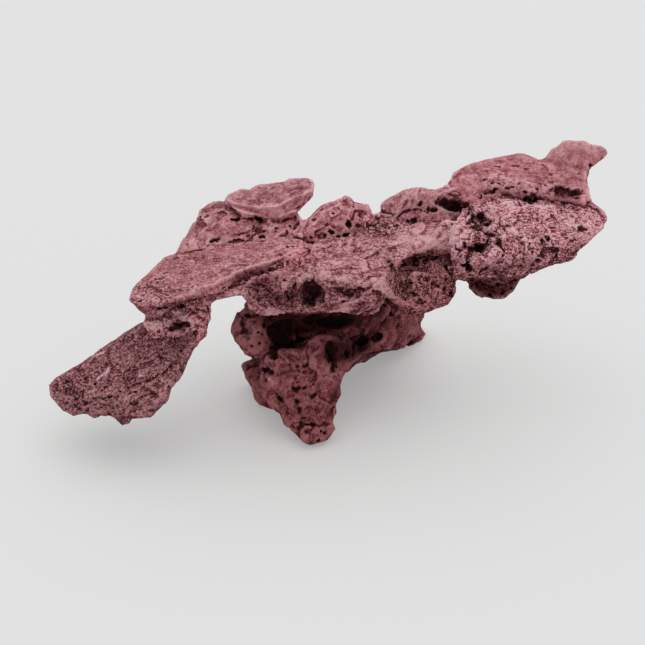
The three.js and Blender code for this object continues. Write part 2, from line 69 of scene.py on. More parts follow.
def mm_per_px(p):
    return float(np.dot(np.asarray(p) - EYE, FWD)) * TAN / (IMG / 2)


# ============================================================== noise
def lattice(seed):
    return np.random.RandomState(1000 + seed).uniform(-1, 1, 64 ** 3).astype(F4)


LATTICES = [lattice(i) for i in range(6)]
JITTER = [np.random.RandomState(2000 + i).uniform(0, 1, 64 ** 3).astype(F4) for i in range(3)]


def cell_of(q):
    i = np.floor(q)
    return i.astype(np.int32), (q - i).astype(F4)


def vnoise(P, wave, seed):
    """smooth value noise, -1 to 1, one swing per `wave` millimetres (number or three numbers)"""
    off = np.random.RandomState(seed).uniform(0, 60, 3)
    L = LATTICES[seed % len(LATTICES)]
    q = P / np.asarray(wave, dtype=F4) + off.astype(F4)
    I, f = cell_of(q)
    w = f * f * f * (f * (f * 6 - 15) + 10)
    I &= 63
    x0, y0, z0 = I[:, 0] << 12, I[:, 1] << 6, I[:, 2]
    x1, y1, z1 = ((I[:, 0] + 1) & 63) << 12, ((I[:, 1] + 1) & 63) << 6, (I[:, 2] + 1) & 63
    wx, wy, wz = w[:, 0], w[:, 1], w[:, 2]

    def edge(a, b):
        v = L[a | b | z0]
        return v + (L[a | b | z1] - v) * wz
    a = edge(x0, y0)
    a += (edge(x0, y1) - a) * wy
    b = edge(x1, y0)
    b += (edge(x1, y1) - b) * wy
    return a + (b - a) * wx


def cells(P, size, seed):
    """distance to the nearest and second nearest scattered point, in cell sizes"""
    off = np.random.RandomState(seed).uniform(0, 60, 3).astype(F4)
    q = P / np.asarray(size, dtype=F4) + off
    I, f = cell_of(q)
    d1 = np.full(len(P), 9.0, F4)
    d2 = np.full(len(P), 9.0, F4)
    for dx in (-1, 0, 1):
        ix = ((I[:, 0] + dx) & 63) << 12
        for dy in (-1, 0, 1):
            iy = ix | (((I[:, 1] + dy) & 63) << 6)
            for dz in (-1, 0, 1):
                k = iy | ((I[:, 2] + dz) & 63)
                d = (JITTER[0][k] + dx - f[:, 0]) ** 2
                d += (JITTER[1][k] + dy - f[:, 1]) ** 2
                d += (JITTER[2][k] + dz - f[:, 2]) ** 2
                far = np.maximum(d, d1)
                np.minimum(d1, d, out=d1)
                np.minimum(d2, far, out=d2)
    return np.sqrt(d1), np.sqrt(d2)


def facets(P, size, seed):
    """broken faces: each scattered point carries a tilted plane; about -0.5 to 0.5"""
    off = np.random.RandomState(seed).uniform(0, 60, 3).astype(F4)
    q = P / np.asarray(size, dtype=F4) + off
    I, f = cell_of(q)
    best = np.full(len(P), 9.0, F4)
    val = np.zeros(len(P), F4)
    for dx in (-1, 0, 1):
        ix = ((I[:, 0] + dx) & 63) << 12
        for dy in (-1, 0, 1):
            iy = ix | (((I[:, 1] + dy) & 63) << 6)
            for dz in (-1, 0, 1):
                k = iy | ((I[:, 2] + dz) & 63)
                vx = JITTER[0][k] + (dx - f[:, 0])
                vy = JITTER[1][k] + (dy - f[:, 1])
                vz = JITTER[2][k] + (dz - f[:, 2])
                d = vx * vx + vy * vy + vz * vz
                v = vx * LATTICES[0][k] + vy * LATTICES[1][k] + vz * LATTICES[2][k] + 0.35 * LATTICES[3][k]
                near = d < best
                val = np.where(near, v, val)
                np.minimum(best, d, out=best)
    return val


def along(direction, normal=(0, 0, 1)):
    """axes whose first column runs along `direction`"""
    a = np.asarray(direction, float)
    a /= np.linalg.norm(a)
    n = np.asarray(normal, float)
    b = np.cross(n, a)
    b /= np.linalg.norm(b)
    return np.stack([a, b, np.cross(a, b)], 1).astype(F4)


def blur(a, sigma):
    """gaussian blur of a dense block, sigma in cells"""
    r = max(1, int(math.ceil(2.5 * sigma)))
    k = np.exp(-0.5 * (np.arange(-r, r + 1) / sigma) ** 2)
    k = (k / k.sum()).astype(F4)
    for ax in range(3):
        pad = [(0, 0)] * 3
        pad[ax] = (r, r)
        p = np.pad(a, pad, mode="edge")
        out = np.zeros_like(a)
        n = a.shape[ax]
        for i, w in enumerate(k):
            sl = [slice(None)] * 3
            sl[ax] = slice(i, i + n)
            out += w * p[tuple(sl)]
        a = out
    return a


def smax(a, b, k):
    h = np.clip(0.5 + 0.5 * (a - b) / k, 0, 1)
    return b + (a - b) * h + k * h * (1 - h)


# ============================================================== the rocks as the frame gives them
def frame_mesh(name):
    me = frame["nodes"][name].data
    me.calc_loop_triangles()
    v = np.empty(len(me.vertices) * 3, F4)
    me.vertices.foreach_get("co", v)
    t = np.empty(len(me.loop_triangles) * 3, np.int32)
    me.loop_triangles.foreach_get("vertices", t)
    return (v.reshape(-1, 3) * 1000.0).astype(F4), t.reshape(-1, 3)


SLOTS = {s["node"]: s["material_slot"] for s in frame["record"]["subparts"]}
SOLID = {name: frame_mesh(name) for name in SLOTS}
TREE = {name: BVHTree.FromPolygons([tuple(map(float, p)) for p in v], [tuple(map(int, f)) for f in t]) for name, (v, t) in SOLID.items()}


def pick(px, py, rock=None):
    """where the view shows the rocks at a picture point: place, outward direction, rock"""
    d = ray(px, py)
    best = None
    for name in ([rock] if rock else SLOTS):
        hit, nor, _, dist = TREE[name].ray_cast(Vector(EYE), Vector(d))
        if hit is not None and (best is None or dist < best[0]):
            best = (dist, np.array(hit), np.array(nor), name)
    if best is None:
        for name in ([rock] if rock else SLOTS):
            mid = float(np.dot(SOLID[name][0].mean(0) - EYE, d))
            for s in np.linspace(mid - 110, mid + 110, 45):
                co, no, _, dist = TREE[name].find_nearest(Vector(EYE + d * s))
                if best is None or dist < best[0]:
                    best = (dist, np.array(co), np.array(no), name)
    return best[1], best[2], best[3]


# the object's outline in the view, going round from the tip of the plate
OUTLINE = [
    (564, 141), (586, 141), (590, 144), (601, 146), (606, 150), (607, 153), (604, 158), (589, 170), (588, 181), (591, 202), (609, 215), (608, 221),
    (602, 229), (577, 252), (576, 256), (573, 260), (546, 267), (531, 274), (528, 277), (520, 279), (513, 291), (503, 299), (482, 298), (469, 290),
    (469, 284), (466, 281), (457, 279), (455, 282), (456, 293), (448, 304), (424, 313), (424, 317), (420, 322), (421, 328), (426, 335), (422, 340),
    (406, 348), (380, 352), (365, 362), (356, 364), (350, 371), (343, 375), (340, 384), (341, 394), (335, 405), (336, 412), (332, 420), (335, 429),
    (327, 440), (310, 445), (303, 443), (284, 424), (280, 413), (261, 405), (255, 400), (252, 387), (246, 378), (241, 366), (244, 361), (249, 358),
    (233, 340), (230, 330), (237, 313), (244, 307), (246, 300), (243, 295), (236, 295), (215, 300), (211, 303), (211, 315), (206, 336), (200, 341),
    (196, 348), (193, 351), (180, 379), (171, 388), (168, 400), (151, 417), (131, 418), (129, 424), (122, 425), (114, 417), (109, 415), (94, 418),
    (87, 414), (71, 416), (64, 412), (51, 397), (49, 385), (55, 378), (84, 362), (90, 356), (145, 320), (146, 315), (140, 311), (129, 300),
    (132, 288), (149, 273), (163, 258), (176, 254), (186, 232), (198, 217), (200, 210), (209, 203), (214, 201), (224, 202), (228, 194), (242, 189),
    (249, 190), (257, 185), (284, 181), (290, 178), (308, 178), (312, 180), (314, 185), (313, 196), (300, 210), (297, 212), (302, 220), (306, 220),
    (320, 207), (327, 203), (336, 201), (345, 196), (349, 197), (355, 203), (368, 205), (372, 214), (374, 215), (381, 211), (381, 205), (384, 201),
    (405, 190), (419, 187), (434, 190), (444, 187), (454, 172), (465, 165), (515, 153), (524, 153), (539, 160), (546, 157), (550, 150), (557, 147)]


def outline_distance():
    """how far each picture point lies outside the outline, in px (inside: negative)"""
    y, x = np.mgrid[0:646, 0:646].astype(F4)
    p = np.stack([x.ravel(), y.ravel()], 1)
    poly = np.array(OUTLINE, F4)
    d2 = np.full(len(p), 1e9, F4)
    inside = np.zeros(len(p), bool)
    for a, b in zip(poly, np.roll(poly, -1, 0)):
        ab = b - a
        w = p - a
        s = np.clip((w @ ab) / float(ab @ ab), 0, 1)
        np.minimum(d2, ((w - s[:, None] * ab) ** 2).sum(1), out=d2)
        if a[1] != b[1]:
            inside ^= ((a[1] > p[:, 1]) != (b[1] > p[:, 1])) & (p[:, 0] < (b[0] - a[0]) * (p[:, 1] - a[1]) / (b[1] - a[1]) + a[0])
    return (np.where(inside, -1, 1) * np.sqrt(d2)).reshape(646, 646).astype(F4)


OUT_PX = outline_distance()


def gap_map():
    """picture points inside the outline where the plain solids show no rock: how far off the rock is, px"""
    v, t, n = [], [], 0
    for a, b in SOLID.values():
        v += [tuple(map(float, p)) for p in a]
        t += [tuple(int(i) + n for i in f) for f in b]
        n += len(a)
    tree = BVHTree.FromPolygons(v, t)
    rock = np.zeros((646, 646), bool)
    for y, x in zip(*np.nonzero(OUT_PX < 0)):
        rock[y, x] = tree.ray_cast(Vector(EYE), Vector(ray(float(x), float(y))))[0] is not None
    gap = np.where((OUT_PX < 0) & ~rock, 9.0, 0.0).astype(F4)
    for k in range(1, 9):          # distance from the rock, px
        near = rock | np.roll(rock, 1, 0) | np.roll(rock, -1, 0) | np.roll(rock, 1, 1) | np.roll(rock, -1, 1)
        gap[near & ~rock & (gap > 0)] = k
        rock = near
    gap[gap < 1.5] = 0
    for _ in range(2):
        gap = np.max([gap, np.roll(gap, 1, 0), np.roll(gap, -1, 0), np.roll(gap, 1, 1), np.roll(gap, -1, 1)], 0)
    for _ in range(2):
        gap = (2 * gap + np.roll(gap, 1, 0) + np.roll(gap, -1, 0)) / 4
        gap = (2 * gap + np.roll(gap, 1, 1) + np.roll(gap, -1, 1)) / 4
    return gap


GAP = gap_map()


def outside_mm(P, field=None):
    v = P - EYE.astype(F4)
    z = v @ FWD.astype(F4)
    px = 322.5 + 322.5 / TAN * (v @ RIGHT.astype(F4)) / z
    py = 322.5 - 322.5 / TAN * (v @ UP.astype(F4)) / z
    px, py = np.clip(px, 0, 644.9), np.clip(py, 0, 644.9)
    i, j = py.astype(int), px.astype(int)
    fy, fx = (py - i).astype(F4), (px - j).astype(F4)
    A = OUT_PX if field is None else field
    d = (A[i, j] * (1 - fx) + A[i, j + 1] * fx) * (1 - fy) + (A[i + 1, j] * (1 - fx) + A[i + 1, j + 1] * fx) * fy
    return d if field is not None else d * (z * TAN / 322.5).astype(F4)


# ============================================================== marks: hollows, holes, lumps, lines and tints
EARLY, LATE, TINTS = [], [], []


def view_axes(turn, nor, bias):
    """columns: across, up, into the rock; bias 1 looks along the view, 0 square to the face"""
    into = FWD * bias - np.asarray(nor) * (1 - bias)
    into /= np.linalg.norm(into)
    t = math.radians(turn)
    a = RIGHT * math.cos(t) + UP * math.sin(t)
    a = a - into * (a @ into)
    a /= np.linalg.norm(a)
    return np.stack([a, np.cross(into, a), into], 1)


def hole(px, py, w, h=None, depth=4.0, turn=0.0, bias=0.6, sink=0.0, k=0.6, dark=0.0, early=False, rock=None):
    h = w if h is None else h
    p, n, who = pick(px, py, rock)
    m = mm_per_px(p)
    ax = view_axes(turn, n, bias)
    (EARLY if early else LATE).append(("ball", p + ax[:, 2] * sink, ax, (max(w * m / 2, 0.75), max(h * m / 2, 0.75), depth), False, k, None))
    # `dark` paints shade into the hole: a red-brown shade tint stands for the shadow inside it
    if dark:
        TINTS.append(("shade", [p + ax[:, 2] * (sink + depth * 0.7)], max(w, h) * m * 0.5 + depth * 0.4, 0.9 * dark))


def lump(px, py, w, h=None, height=2.0, turn=0.0, k=1.6, sink=0.0, early=True, rock=None, bias=0.1):
    h = w if h is None else h
    p, n, who = pick(px, py, rock)
    m = mm_per_px(p)
    ax = view_axes(turn, n, bias)
    (EARLY if early else LATE).append(("ball", p + ax[:, 2] * sink, ax, (w * m / 2, h * m / 2, height), True, k, who))


def line(pts, r, add=False, sink=0.0, lift=0.0, k=0.5, early=False, rock=None, dark=0.0, light=0.0, bias=0.5):
    """a groove or a ridge along picture points"""
    got = [pick(x, y, rock) for x, y in pts]
    q = []
    for p, n, who in got:
        into = FWD * bias - n * (1 - bias)
        q.append(p + into / np.linalg.norm(into) * sink + n * lift)
    rr = list(r) if hasattr(r, "__len__") else [r] * len(q)
    for i in range(len(q) - 1):
        (EARLY if early else LATE).append(("rod", q[i], q[i + 1], rr[i], rr[i + 1], add, k, got[i][2] if add else None))
    # `dark` paints shade along a groove; `light` makes a ridge paler, a painted highlight together with edge wear
    if dark:
        TINTS.append(("light", q, max(rr) * 2 + 1, -dark))
    if light:
        TINTS.append(("light", q, max(rr) * 1.6 + 1, light))


def shave(pts, reach=8.0, lean=0.0, back=0.0, rock=None, k=0.4, light=0.0):
    """a crisp edge along picture points: below it the face stands up straight, leaning out by `lean` degrees"""
    got = [pick(x, y, rock) for x, y in pts]
    for i in range(len(got) - 1):
        a, b = got[i][0], got[i + 1][0]
        out = np.cross(b - a, (0, 0, 1.0))
        out /= np.linalg.norm(out)
        if out @ FWD > 0:
            out = -out
        t = math.radians(lean)
        n = out * math.cos(t) + np.array([0, 0, 1.0]) * math.sin(t)
        EARLY.append(("shave", a, b, n, reach, back, k, None))
    # `light` paints a highlight along the edge
    if light:
        TINTS.append(("light", [g[0] for g in got], 2.2, light))


def plane_of(pts, rock):
    """level plane through picture points on a rock"""
    P = np.array([pick(x, y, rock)[0] for x, y in pts])
    c = P.mean(0)
    n = np.linalg.svd(P - c)[2][2]
    return c, n if n[2] > 0 else -n


def bench(plane, rim, thick, grow=3.5, reach=10.0, fill=None, out=0.0, k=0.4, lean=0.0, light=0.0, rough=1.0, above=True, up=0.0, down=0.0):
    """a flat top ending in a crisp rim, seen along picture points, with a steep face `thick` high below it"""
    c, n = plane
    q = []
    for x, y in rim:
        d = ray(x, y)
        q.append(EYE + d * (float((c - EYE) @ n) / float(d @ n)))
    q = np.array(q)
    thick = thick if hasattr(thick, "__len__") else (thick, thick)
    thick = np.interp(np.linspace(0, 1, len(q)), np.linspace(0, 1, len(thick)), thick)
    EARLY.append(("bench", c, n, q, thick, grow, reach, fill or reach, out, k, lean, rough, above, up, down, None))
    # `light` makes the rim paler: a painted highlight together with edge wear
    if light:
        TINTS.append(("light", list(q), 2.4, light))


# kinds: light lifts the tone and a negative amount lowers it, shade darkens towards red-brown; also red, grey, rough
# and chalk. The light and shade tints paint in light and shade (lighter tops and lips, darker fronts, hollows,
# undersides and the cave); some light tints are paler crust
def tint(kind, pts, radius_px, amount, rock=None):
    got = [pick(x, y, rock)[0] for x, y in pts]
    TINTS.append((kind, got, radius_px * mm_per_px(got[0]), amount))


# ============================================================== one rock
class Rock:
    def __init__(self, name, voxel, soften=1.0, margin=7.0, weld=2.5):
        self.name = name
        v, t = SOLID[name]
        self.h = voxel * 1.0
        half = int(math.ceil(margin / self.h))
        self.tr = vdb.createLinearTransform(voxelSize=self.h)
        g = vdb.FloatGrid.createLevelSetFromPolygons(v, triangles=t.astype(np.uint32), transform=self.tr, halfWidth=half)
        a, b = g.evalActiveVoxelBoundingBox()
        self.o = np.array(a) - 2
        dims = np.array(b) - np.array(a) + 5
        own = np.empty(tuple(int(d) for d in dims), F4)
        g.copyToArray(own, ijk=tuple(int(c) for c in self.o))
        near = np.full_like(own, half * self.h)
        lo, hi = v.min(0) - margin * 2, v.max(0) + margin * 2
        for other, (ov, ot) in SOLID.items():
            if other == name or (ov.min(0) > hi).any() or (ov.max(0) < lo).any():
                continue
            og = vdb.FloatGrid.createLevelSetFromPolygons(ov, triangles=ot.astype(np.uint32), transform=self.tr, halfWidth=half)
            oa = np.empty_like(own)
            og.copyToArray(oa, ijk=tuple(int(c) for c in self.o))
            np.minimum(near, oa, out=near)
        # the bond: neighbours flow together, and each keeps its own side of the seam
        self.F = blur(-smax(-own, -near, weld), soften / self.h)
        self.side = (own - near) * 0.5
        self.raw = self.F.copy()
        self.rs = np.random.RandomState(sum(ord(c) for c in name))
        self.base = None

    def window(self, lo, hi):
        i0 = np.maximum(np.floor(np.asarray(lo) / self.h).astype(int) - self.o, 0)
        i1 = np.minimum(np.ceil(np.asarray(hi) / self.h).astype(int) - self.o + 1, self.F.shape)
        if (i1 <= i0).any():
            return None, None
        sl = tuple(slice(int(a), int(b)) for a, b in zip(i0, i1))
        g = np.stack(np.meshgrid(*[(np.arange(a, b) + o) * self.h for a, b, o in zip(i0, i1, self.o)], indexing="ij"), -1)
        return sl, g.astype(F4)

    def put(self, sl, g, d, size, add, k):
        if size < 25:      # ragged outlines
            q = g.reshape(-1, 3)
            w = max(2.2, 1.0 * size)
            d = d + (0.55 * min(size, 3.5) * vnoise(q, w, 501) + 0.42 * min(size, 3.0) * vnoise(q, w * 0.5, 502)).reshape(d.shape)
        f = self.F[sl]
        self.F[sl] = (-smax(-f, -d, k)) if add else smax(f, -d, k)

    def ball(self, c, axes, radii, add, k):
        c = np.asarray(c, float)
        radii = np.asarray(radii, float)
        reach = np.abs(axes) @ radii + 3.0
        sl, g = self.window(c - reach, c + reach)
        if sl is None:
            return
        q = (g - c.astype(F4)) @ np.asarray(axes, F4)
        k0 = np.sqrt(((q / radii) ** 2).sum(-1)) + 1e-6
        k1 = np.sqrt(((q / radii ** 2) ** 2).sum(-1)) + 1e-6
        self.put(sl, g, k0 * (k0 - 1) / k1, float(radii.min()), add, k)

    def rod(self, a, b, ra, rb, add, k):
        a, b = np.asarray(a, float), np.asarray(b, float)
        r = max(ra, rb) + 3
        sl, g = self.window(np.minimum(a, b) - r, np.maximum(a, b) + r)
        if sl is None:
            return
        ab = b - a
        s = np.clip(((g - a.astype(F4)) @ ab.astype(F4)) / max(float(ab @ ab), 1e-9), 0, 1)
        self.put(sl, g, np.sqrt(((g - (a.astype(F4) + s[..., None] * ab.astype(F4))) ** 2).sum(-1)) - (ra + (rb - ra) * s), max(ra, rb), add, k)

    def shave(self, a, b, n, reach, back, k):
        """cut away what stands in front of the plane through a-b, no further than `reach` from it"""
        a, b = np.asarray(a, float), np.asarray(b, float)
        sl, g = self.window(np.minimum(a, b) - reach - 2, np.maximum(a, b) + reach + 2)
        if sl is None:
            return
        ab = b - a
        s = np.clip(((g - a.astype(F4)) @ ab.astype(F4)) / max(float(ab @ ab), 1e-9), 0, 1)
        tube = np.sqrt(((g - (a.astype(F4) + s[..., None] * ab.astype(F4))) ** 2).sum(-1)) - reach
        front = -((g - a.astype(F4)) @ np.asarray(n, F4) - back)
        q = g.reshape(-1, 3)
        front = front + (0.5 * vnoise(q, 7.0, 503) + 0.3 * vnoise(q, 3.0, 504)).reshape(front.shape)
        f = self.F[sl]
        self.F[sl] = smax(f, -smax(front, tube, 1.5), k)

    def bench(self, c, n, rim, thick, grow, reach, fill, out, k, lean, rough, above, up, down):
        far = max(reach, fill) + 2
        sl, g = self.window(rim.min(0) - far, rim.max(0) + far)
        if sl is None:
            return
        x = g.reshape(-1, 3)
        top = (x - c.astype(F4)) @ n.astype(F4)
        tube = np.full(len(x), 99.0, F4)
        for a, b in zip(rim[:-1], rim[1:]):
            ab = (b - a).astype(F4)
            s = np.clip(((x - a.astype(F4)) @ ab) / max(float(ab @ ab), 1e-9), 0, 1)
            np.minimum(tube, np.sqrt(((x - (a.astype(F4) + s[:, None] * ab)) ** 2).sum(1)), out=tube)
        # plan outline: the rim, closed far behind
        chord = rim[-1, :2] - rim[0, :2]
        back = np.array([-chord[1], chord[0]])
        back /= np.linalg.norm(back)
        if back @ FWD[:2] < 0:
            back = -back
        u = ((x[:, :2] - rim[0, :2].astype(F4)) @ chord.astype(F4)) / float(chord @ chord)
        thick = np.interp(u, ((rim[:, :2] - rim[0, :2]) @ chord) / float(chord @ chord), thick).astype(F4)
        ends = smooth(u, -0.03, 0.09) * (1 - smooth(u, 0.92, 1.03))
        reach = 1.5 + (reach - 1.5) * ends
        poly = np.vstack([rim[:, :2], rim[-1, :2] + back * 60 + chord * 0.1, rim[0, :2] + back * 60 - chord * 0.1])
        y = x[:, :2] + (back * math.tan(math.radians(lean))).astype(F4) * top[:, None]
        d2 = np.full(len(x), 1e9, F4)
        inside = np.zeros(len(x), bool)
        for a, b in zip(poly, np.roll(poly, -1, 0)):
            ab = (b - a).astype(F4)
            w = y - a.astype(F4)
            s = np.clip((w @ ab) / max(float(ab @ ab), 1e-9), 0, 1)
            np.minimum(d2, ((w - s[:, None] * ab) ** 2).sum(1), out=d2)
            cross = (a[1] > y[:, 1]) != (b[1] > y[:, 1])
            if abs(b[1] - a[1]) > 1e-9:
                inside ^= cross & (y[:, 0] < (b[0] - a[0]) * (y[:, 1] - a[1]) / (b[1] - a[1]) + a[0])
        wall = np.where(inside, -np.sqrt(d2), np.sqrt(d2)) - out
        wall += rough * (0.55 * vnoise(x, 9.0, 505) + 0.4 * vnoise(x, 3.6, 506))
        top += rough * 0.3 * vnoise(x, 14.0, 507)
        f = self.F[sl].reshape(-1)
        raw = self.raw[sl] - grow
        low = raw.copy()
        for i in range(1, int(down / self.h) + 1):
            low[:, :, :-i] = np.minimum(low[:, :, :-i], raw[:, :, i:] + (grow - 0.5))
        for i in range(1, int(up / self.h) + 1):
            low[:, :, i:] = np.minimum(low[:, :, i:], raw[:, :, :-i] + (grow - 0.5))
        raw = low.reshape(-1)
        prism = np.maximum(np.maximum(top, wall), np.maximum(-top - thick, np.maximum(raw, tube - fill)))
        f = -smax(-f, -prism, k)
        cut = smax(np.maximum(-wall, -top - thick), tube - reach, 3.0)
        f = smax(f, -cut, k)
        if above:
            f = smax(f, -np.maximum(np.maximum(-top, wall), tube - fill), k)
        self.F[sl] = f.reshape(self.F[sl].shape)

    def marks(self, todo):
        for m in todo:
            if m[-1] is not None and m[-1] != self.name:
                continue
            if m[0] == "ball":
                self.ball(*m[1:-1])
            elif m[0] == "rod":
                self.rod(*m[1:-1])
            elif m[0] == "bench":
                self.bench(*m[1:-1])
            else:
                self.shave(*m[1:-1])

    # ---- relief
    def surface_points(self, width, mine=2.5):
        idx = np.argwhere((np.abs(self.F) < width) & (self.side < mine))
        return idx, ((idx + self.o) * self.h).astype(F4)

    def normals_at(self, idx):
        n = np.empty((len(idx), 3), F4)
        for ax in range(3):
            a, b = idx.copy(), idx.copy()
            a[:, ax] = np.minimum(a[:, ax] + 1, self.F.shape[ax] - 1)
            b[:, ax] = np.maximum(b[:, ax] - 1, 0)
            n[:, ax] = self.F[tuple(a.T)] - self.F[tuple(b.T)]
        n /= np.linalg.norm(n, axis=1, keepdims=True) + 1e-6
        return n

    def fit_outline(self):
        """fill the gaps between the rock and the outline, and trim what stands outside it"""
        idx = np.argwhere(self.F < 6.5)
        P = ((idx + self.o) * self.h).astype(F4)
        s = outside_mm(P)
        keep = s > -4
        idx, P, s = idx[keep], P[keep], s[keep]
        t = tuple(idx.T)
        w = outside_mm(P, GAP)
        f = self.F[t]
        f = np.where(w > 0.3, np.minimum(f, np.maximum(self.raw[t] - np.minimum(w, 7.0) * 0.82 + 0.2, s + 0.3)), f)
        self.F[t] = smax(f, s + 0.3, 0.8)

    def trim(self, slack=0.4):
        idx = np.argwhere(self.F < 1.2)
        P = ((idx + self.o) * self.h).astype(F4)
        s = outside_mm(P)
        keep = s > -2
        idx, P, s = idx[keep], P[keep], s[keep]
        t = tuple(idx.T)
        s = s + 0.5 * vnoise(P, 3.4, 508) - slack
        self.F[t] = smax(self.F[t], s, 0.4)

    def relief(self, fn):
        """push the surface out by fn(points, directions), in millimetres"""
        self.base = self.F.copy()
        idx, P = self.surface_points(4.4 if self.name == "base_rock" else 3.6)
        N = self.normals_at(idx)
        d = fn(P, N).astype(F4)
        edge = smooth(outside_mm(P), -3.5, -1.0)
        self.F[tuple(idx.T)] -= d * (1 - edge) + np.clip(d, -0.5, 1.5) * edge

    def pits(self, count, rmin, rmax, depth=1.0, where=None, stretch=1.0, direction=None, k=0.5, power=1.8, up=None, rise=0.15):
        """scattered pores; `where` keeps them near some places: list of (px, py, radius in px)"""
        idx, P = self.surface_points(self.h * 0.6, 0.0)
        if len(P) and where is not None:
            keep = np.zeros(len(P), bool)
            for px, py, r in where:
                c = pick(px, py, self.name)[0]
                keep |= ((P - c) ** 2).sum(1) < (r * mm_per_px(c)) ** 2
            idx, P = idx[keep], P[keep]
        if not len(P):
            return
        sel = self.rs.choice(len(P), min(count, len(P)), replace=False)
        N = self.normals_at(idx[sel])
        for p, n in zip(P[sel], N):
            r = rmin + (rmax - rmin) * self.rs.rand() ** power
            d = np.asarray(direction if direction is not None else self.rs.normal(size=3), float)
            d = d + self.rs.normal(size=3) * (0.25 if direction is not None else 0)
            s = 1 + (stretch - 1) * self.rs.rand()
            flat, deep = 0.7 + 0.3 * self.rs.rand(), depth * (0.7 + 0.6 * self.rs.rand())
            if up is not None and n[2] < up:
                continue
            a = d - n * (d @ n)
            a /= np.linalg.norm(a) + 1e-9
            ax = np.stack([a, np.cross(n, a), -n], 1)
            self.ball(p + n * rise * r, ax, (r * s, r * flat, r * deep), False, k)

    # ---- mesh
    def sample(self, A, P):
        q = P / self.h - self.o
        i = np.clip(np.floor(q).astype(int), 0, np.array(A.shape) - 2)
        f = np.clip(q - i, 0, 1).astype(F4)
        out = 0
        for c in range(8):
            d = np.array([c & 1, (c >> 1) & 1, (c >> 2) & 1])
            w = np.prod(np.where(d, f, 1 - f), axis=1)
            j = i + d
            out = out + A[j[:, 0], j[:, 1], j[:, 2]] * w
        return out

    def mesh(self, floor=None):
        soft = blur(self.F, 1.3 / self.h)
        wide = blur(self.F, 3.2 / self.h)
        F = smax(self.F, self.side - 0.45, 0.25)
        if floor is not None:      # the dressed feet stay flat
            z = ((np.arange(F.shape[2]) + self.o[2]) * self.h).astype(F4)
            F = np.maximum(F, (floor - z)[None, None, :])
        band = 3 * self.h
        g = vdb.FloatGrid(band)
        g.transform = self.tr
        g.copyFromArray(np.clip(F, -band, band), ijk=tuple(int(c) for c in self.o))
        P, tri, quad = g.convertToPolygons(isovalue=0.0, adaptivity=0.0)
        P = np.asarray(P, F4)
        quad = np.asarray(quad, np.int64)
        quad, P = main_body(quad, P)
        if floor is not None:
            P[:, 2] = np.where(P[:, 2] < floor + self.h * 0.6, np.maximum(P[:, 2], floor), P[:, 2])
        a, b, c, d = (P[quad[:, i]].astype(float) for i in range(4))
        if (np.einsum("ij,ij->i", a, np.cross(b, c)) + np.einsum("ij,ij->i", a, np.cross(c, d))).sum() < 0:
            quad = quad[:, ::-1]
        ob = make_mesh(self.name + "_surface", P * 0.001, quad)
        # ridge, swell, deep, under and steep drive painted shade and highlight in the material: darker creases,
        # hollows, undersides and steep faces, lighter edges
        near = np.clip(self.sample(soft, P) / 0.5, -1, 1)
        broad = np.clip(self.sample(wide, P) / 1.6, -1, 1)
        deep = np.clip((-self.sample(self.raw, P) - 0.8) / 5.5, 0, 1)
        e = self.h
        nz = self.sample(wide, P + np.array([0, 0, e], F4)) - self.sample(wide, P - np.array([0, 0, e], F4))
        under = np.clip(-nz / (2 * e) * 1.3 - 0.1, 0, 1)
        layer = {"ridge": near, "swell": broad, "deep": deep, "under": under, "light": 0 * near, "red": 0 * near, "grey": 0 * near, "shade": 0 * near, "rough": 0 * near, "chalk": 0 * near,
                 "steep": np.clip((0.62 - nz / (2 * e)) / 0.8, 0, 1)}
        P = P - 0.55 * np.outer(P @ FWD, FWD)
        for kind, pts, radius, amount in TINTS:
            pts = [np.asarray(p, float) - 0.55 * float(np.dot(p, FWD)) * FWD for p in pts]
            dist = np.linalg.norm(P - pts[0], axis=1)
            for p, q in zip(pts[:-1], pts[1:]):
                pq = q - p
                s = np.clip(((P - p) @ pq) / max(pq @ pq, 1e-9), 0, 1)
                dist = np.minimum(dist, np.linalg.norm(P - (p + s[:, None] * pq), axis=1))
            w = np.clip(1 - dist / radius, 0, 1)
            layer[kind] = layer[kind] + amount * w * w * (3 - 2 * w)
        for kind, val in layer.items():
            at = ob.data.attributes.new(kind, "FLOAT", "POINT")
            at.data.foreach_set("value", np.ascontiguousarray(val, dtype=F4))
        ob.data.materials.append(material(SLOTS[self.name], self.name))
        thin(ob, min(TARGET.get(self.name, 1e9), 0.66 * 2 * len(quad)) / (2 * len(quad)))
        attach(ob, "root")
        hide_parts(self.name)
        print(f"{self.name}: {len(quad) * 2} -> {sum(len(p.vertices) - 2 for p in ob.data.polygons)} triangles")
        return ob


def main_body(quad, P):
    """only the largest connected body: no crumbs, no bubbles"""
    e = np.concatenate([quad[:, [0, 1]], quad[:, [1, 2]], quad[:, [2, 3]], quad[:, [3, 0]]])
    label = np.arange(len(P))
    while True:
        low = label.copy()
        np.minimum.at(low, e[:, 0], label[e[:, 1]])
        np.minimum.at(low, e[:, 1], label[e[:, 0]])
        low = low[low]
        while True:
            nxt = low[low]
            if (nxt == low).all():
                break
            low = nxt
        if (low == label).all():
            break
        label = low
    ids, counts = np.unique(label, return_counts=True)
    main = label == ids[np.argmax(counts)]
    new = np.cumsum(main) - 1
    return new[quad[main[quad[:, 0]]]], P[main]


TARGET = {"base_rock": 180000, "centre_rock": 150000, "right_front_block": 150000}


def thin(ob, ratio):
    """fewer triangles where the surface is flat"""
    mod = ob.modifiers.new("thin", "DECIMATE")
    mod.ratio = ratio
    deps = bpy.context.evaluated_depsgraph_get()
    me = bpy.data.meshes.new_from_object(ob.evaluated_get(deps), preserve_all_data_layers=True, depsgraph=deps)
    ob.modifiers.clear()
    old, ob.data = ob.data, me
    bpy.data.meshes.remove(old)
    me.polygons.foreach_set("use_smooth", np.ones(len(me.polygons), bool))


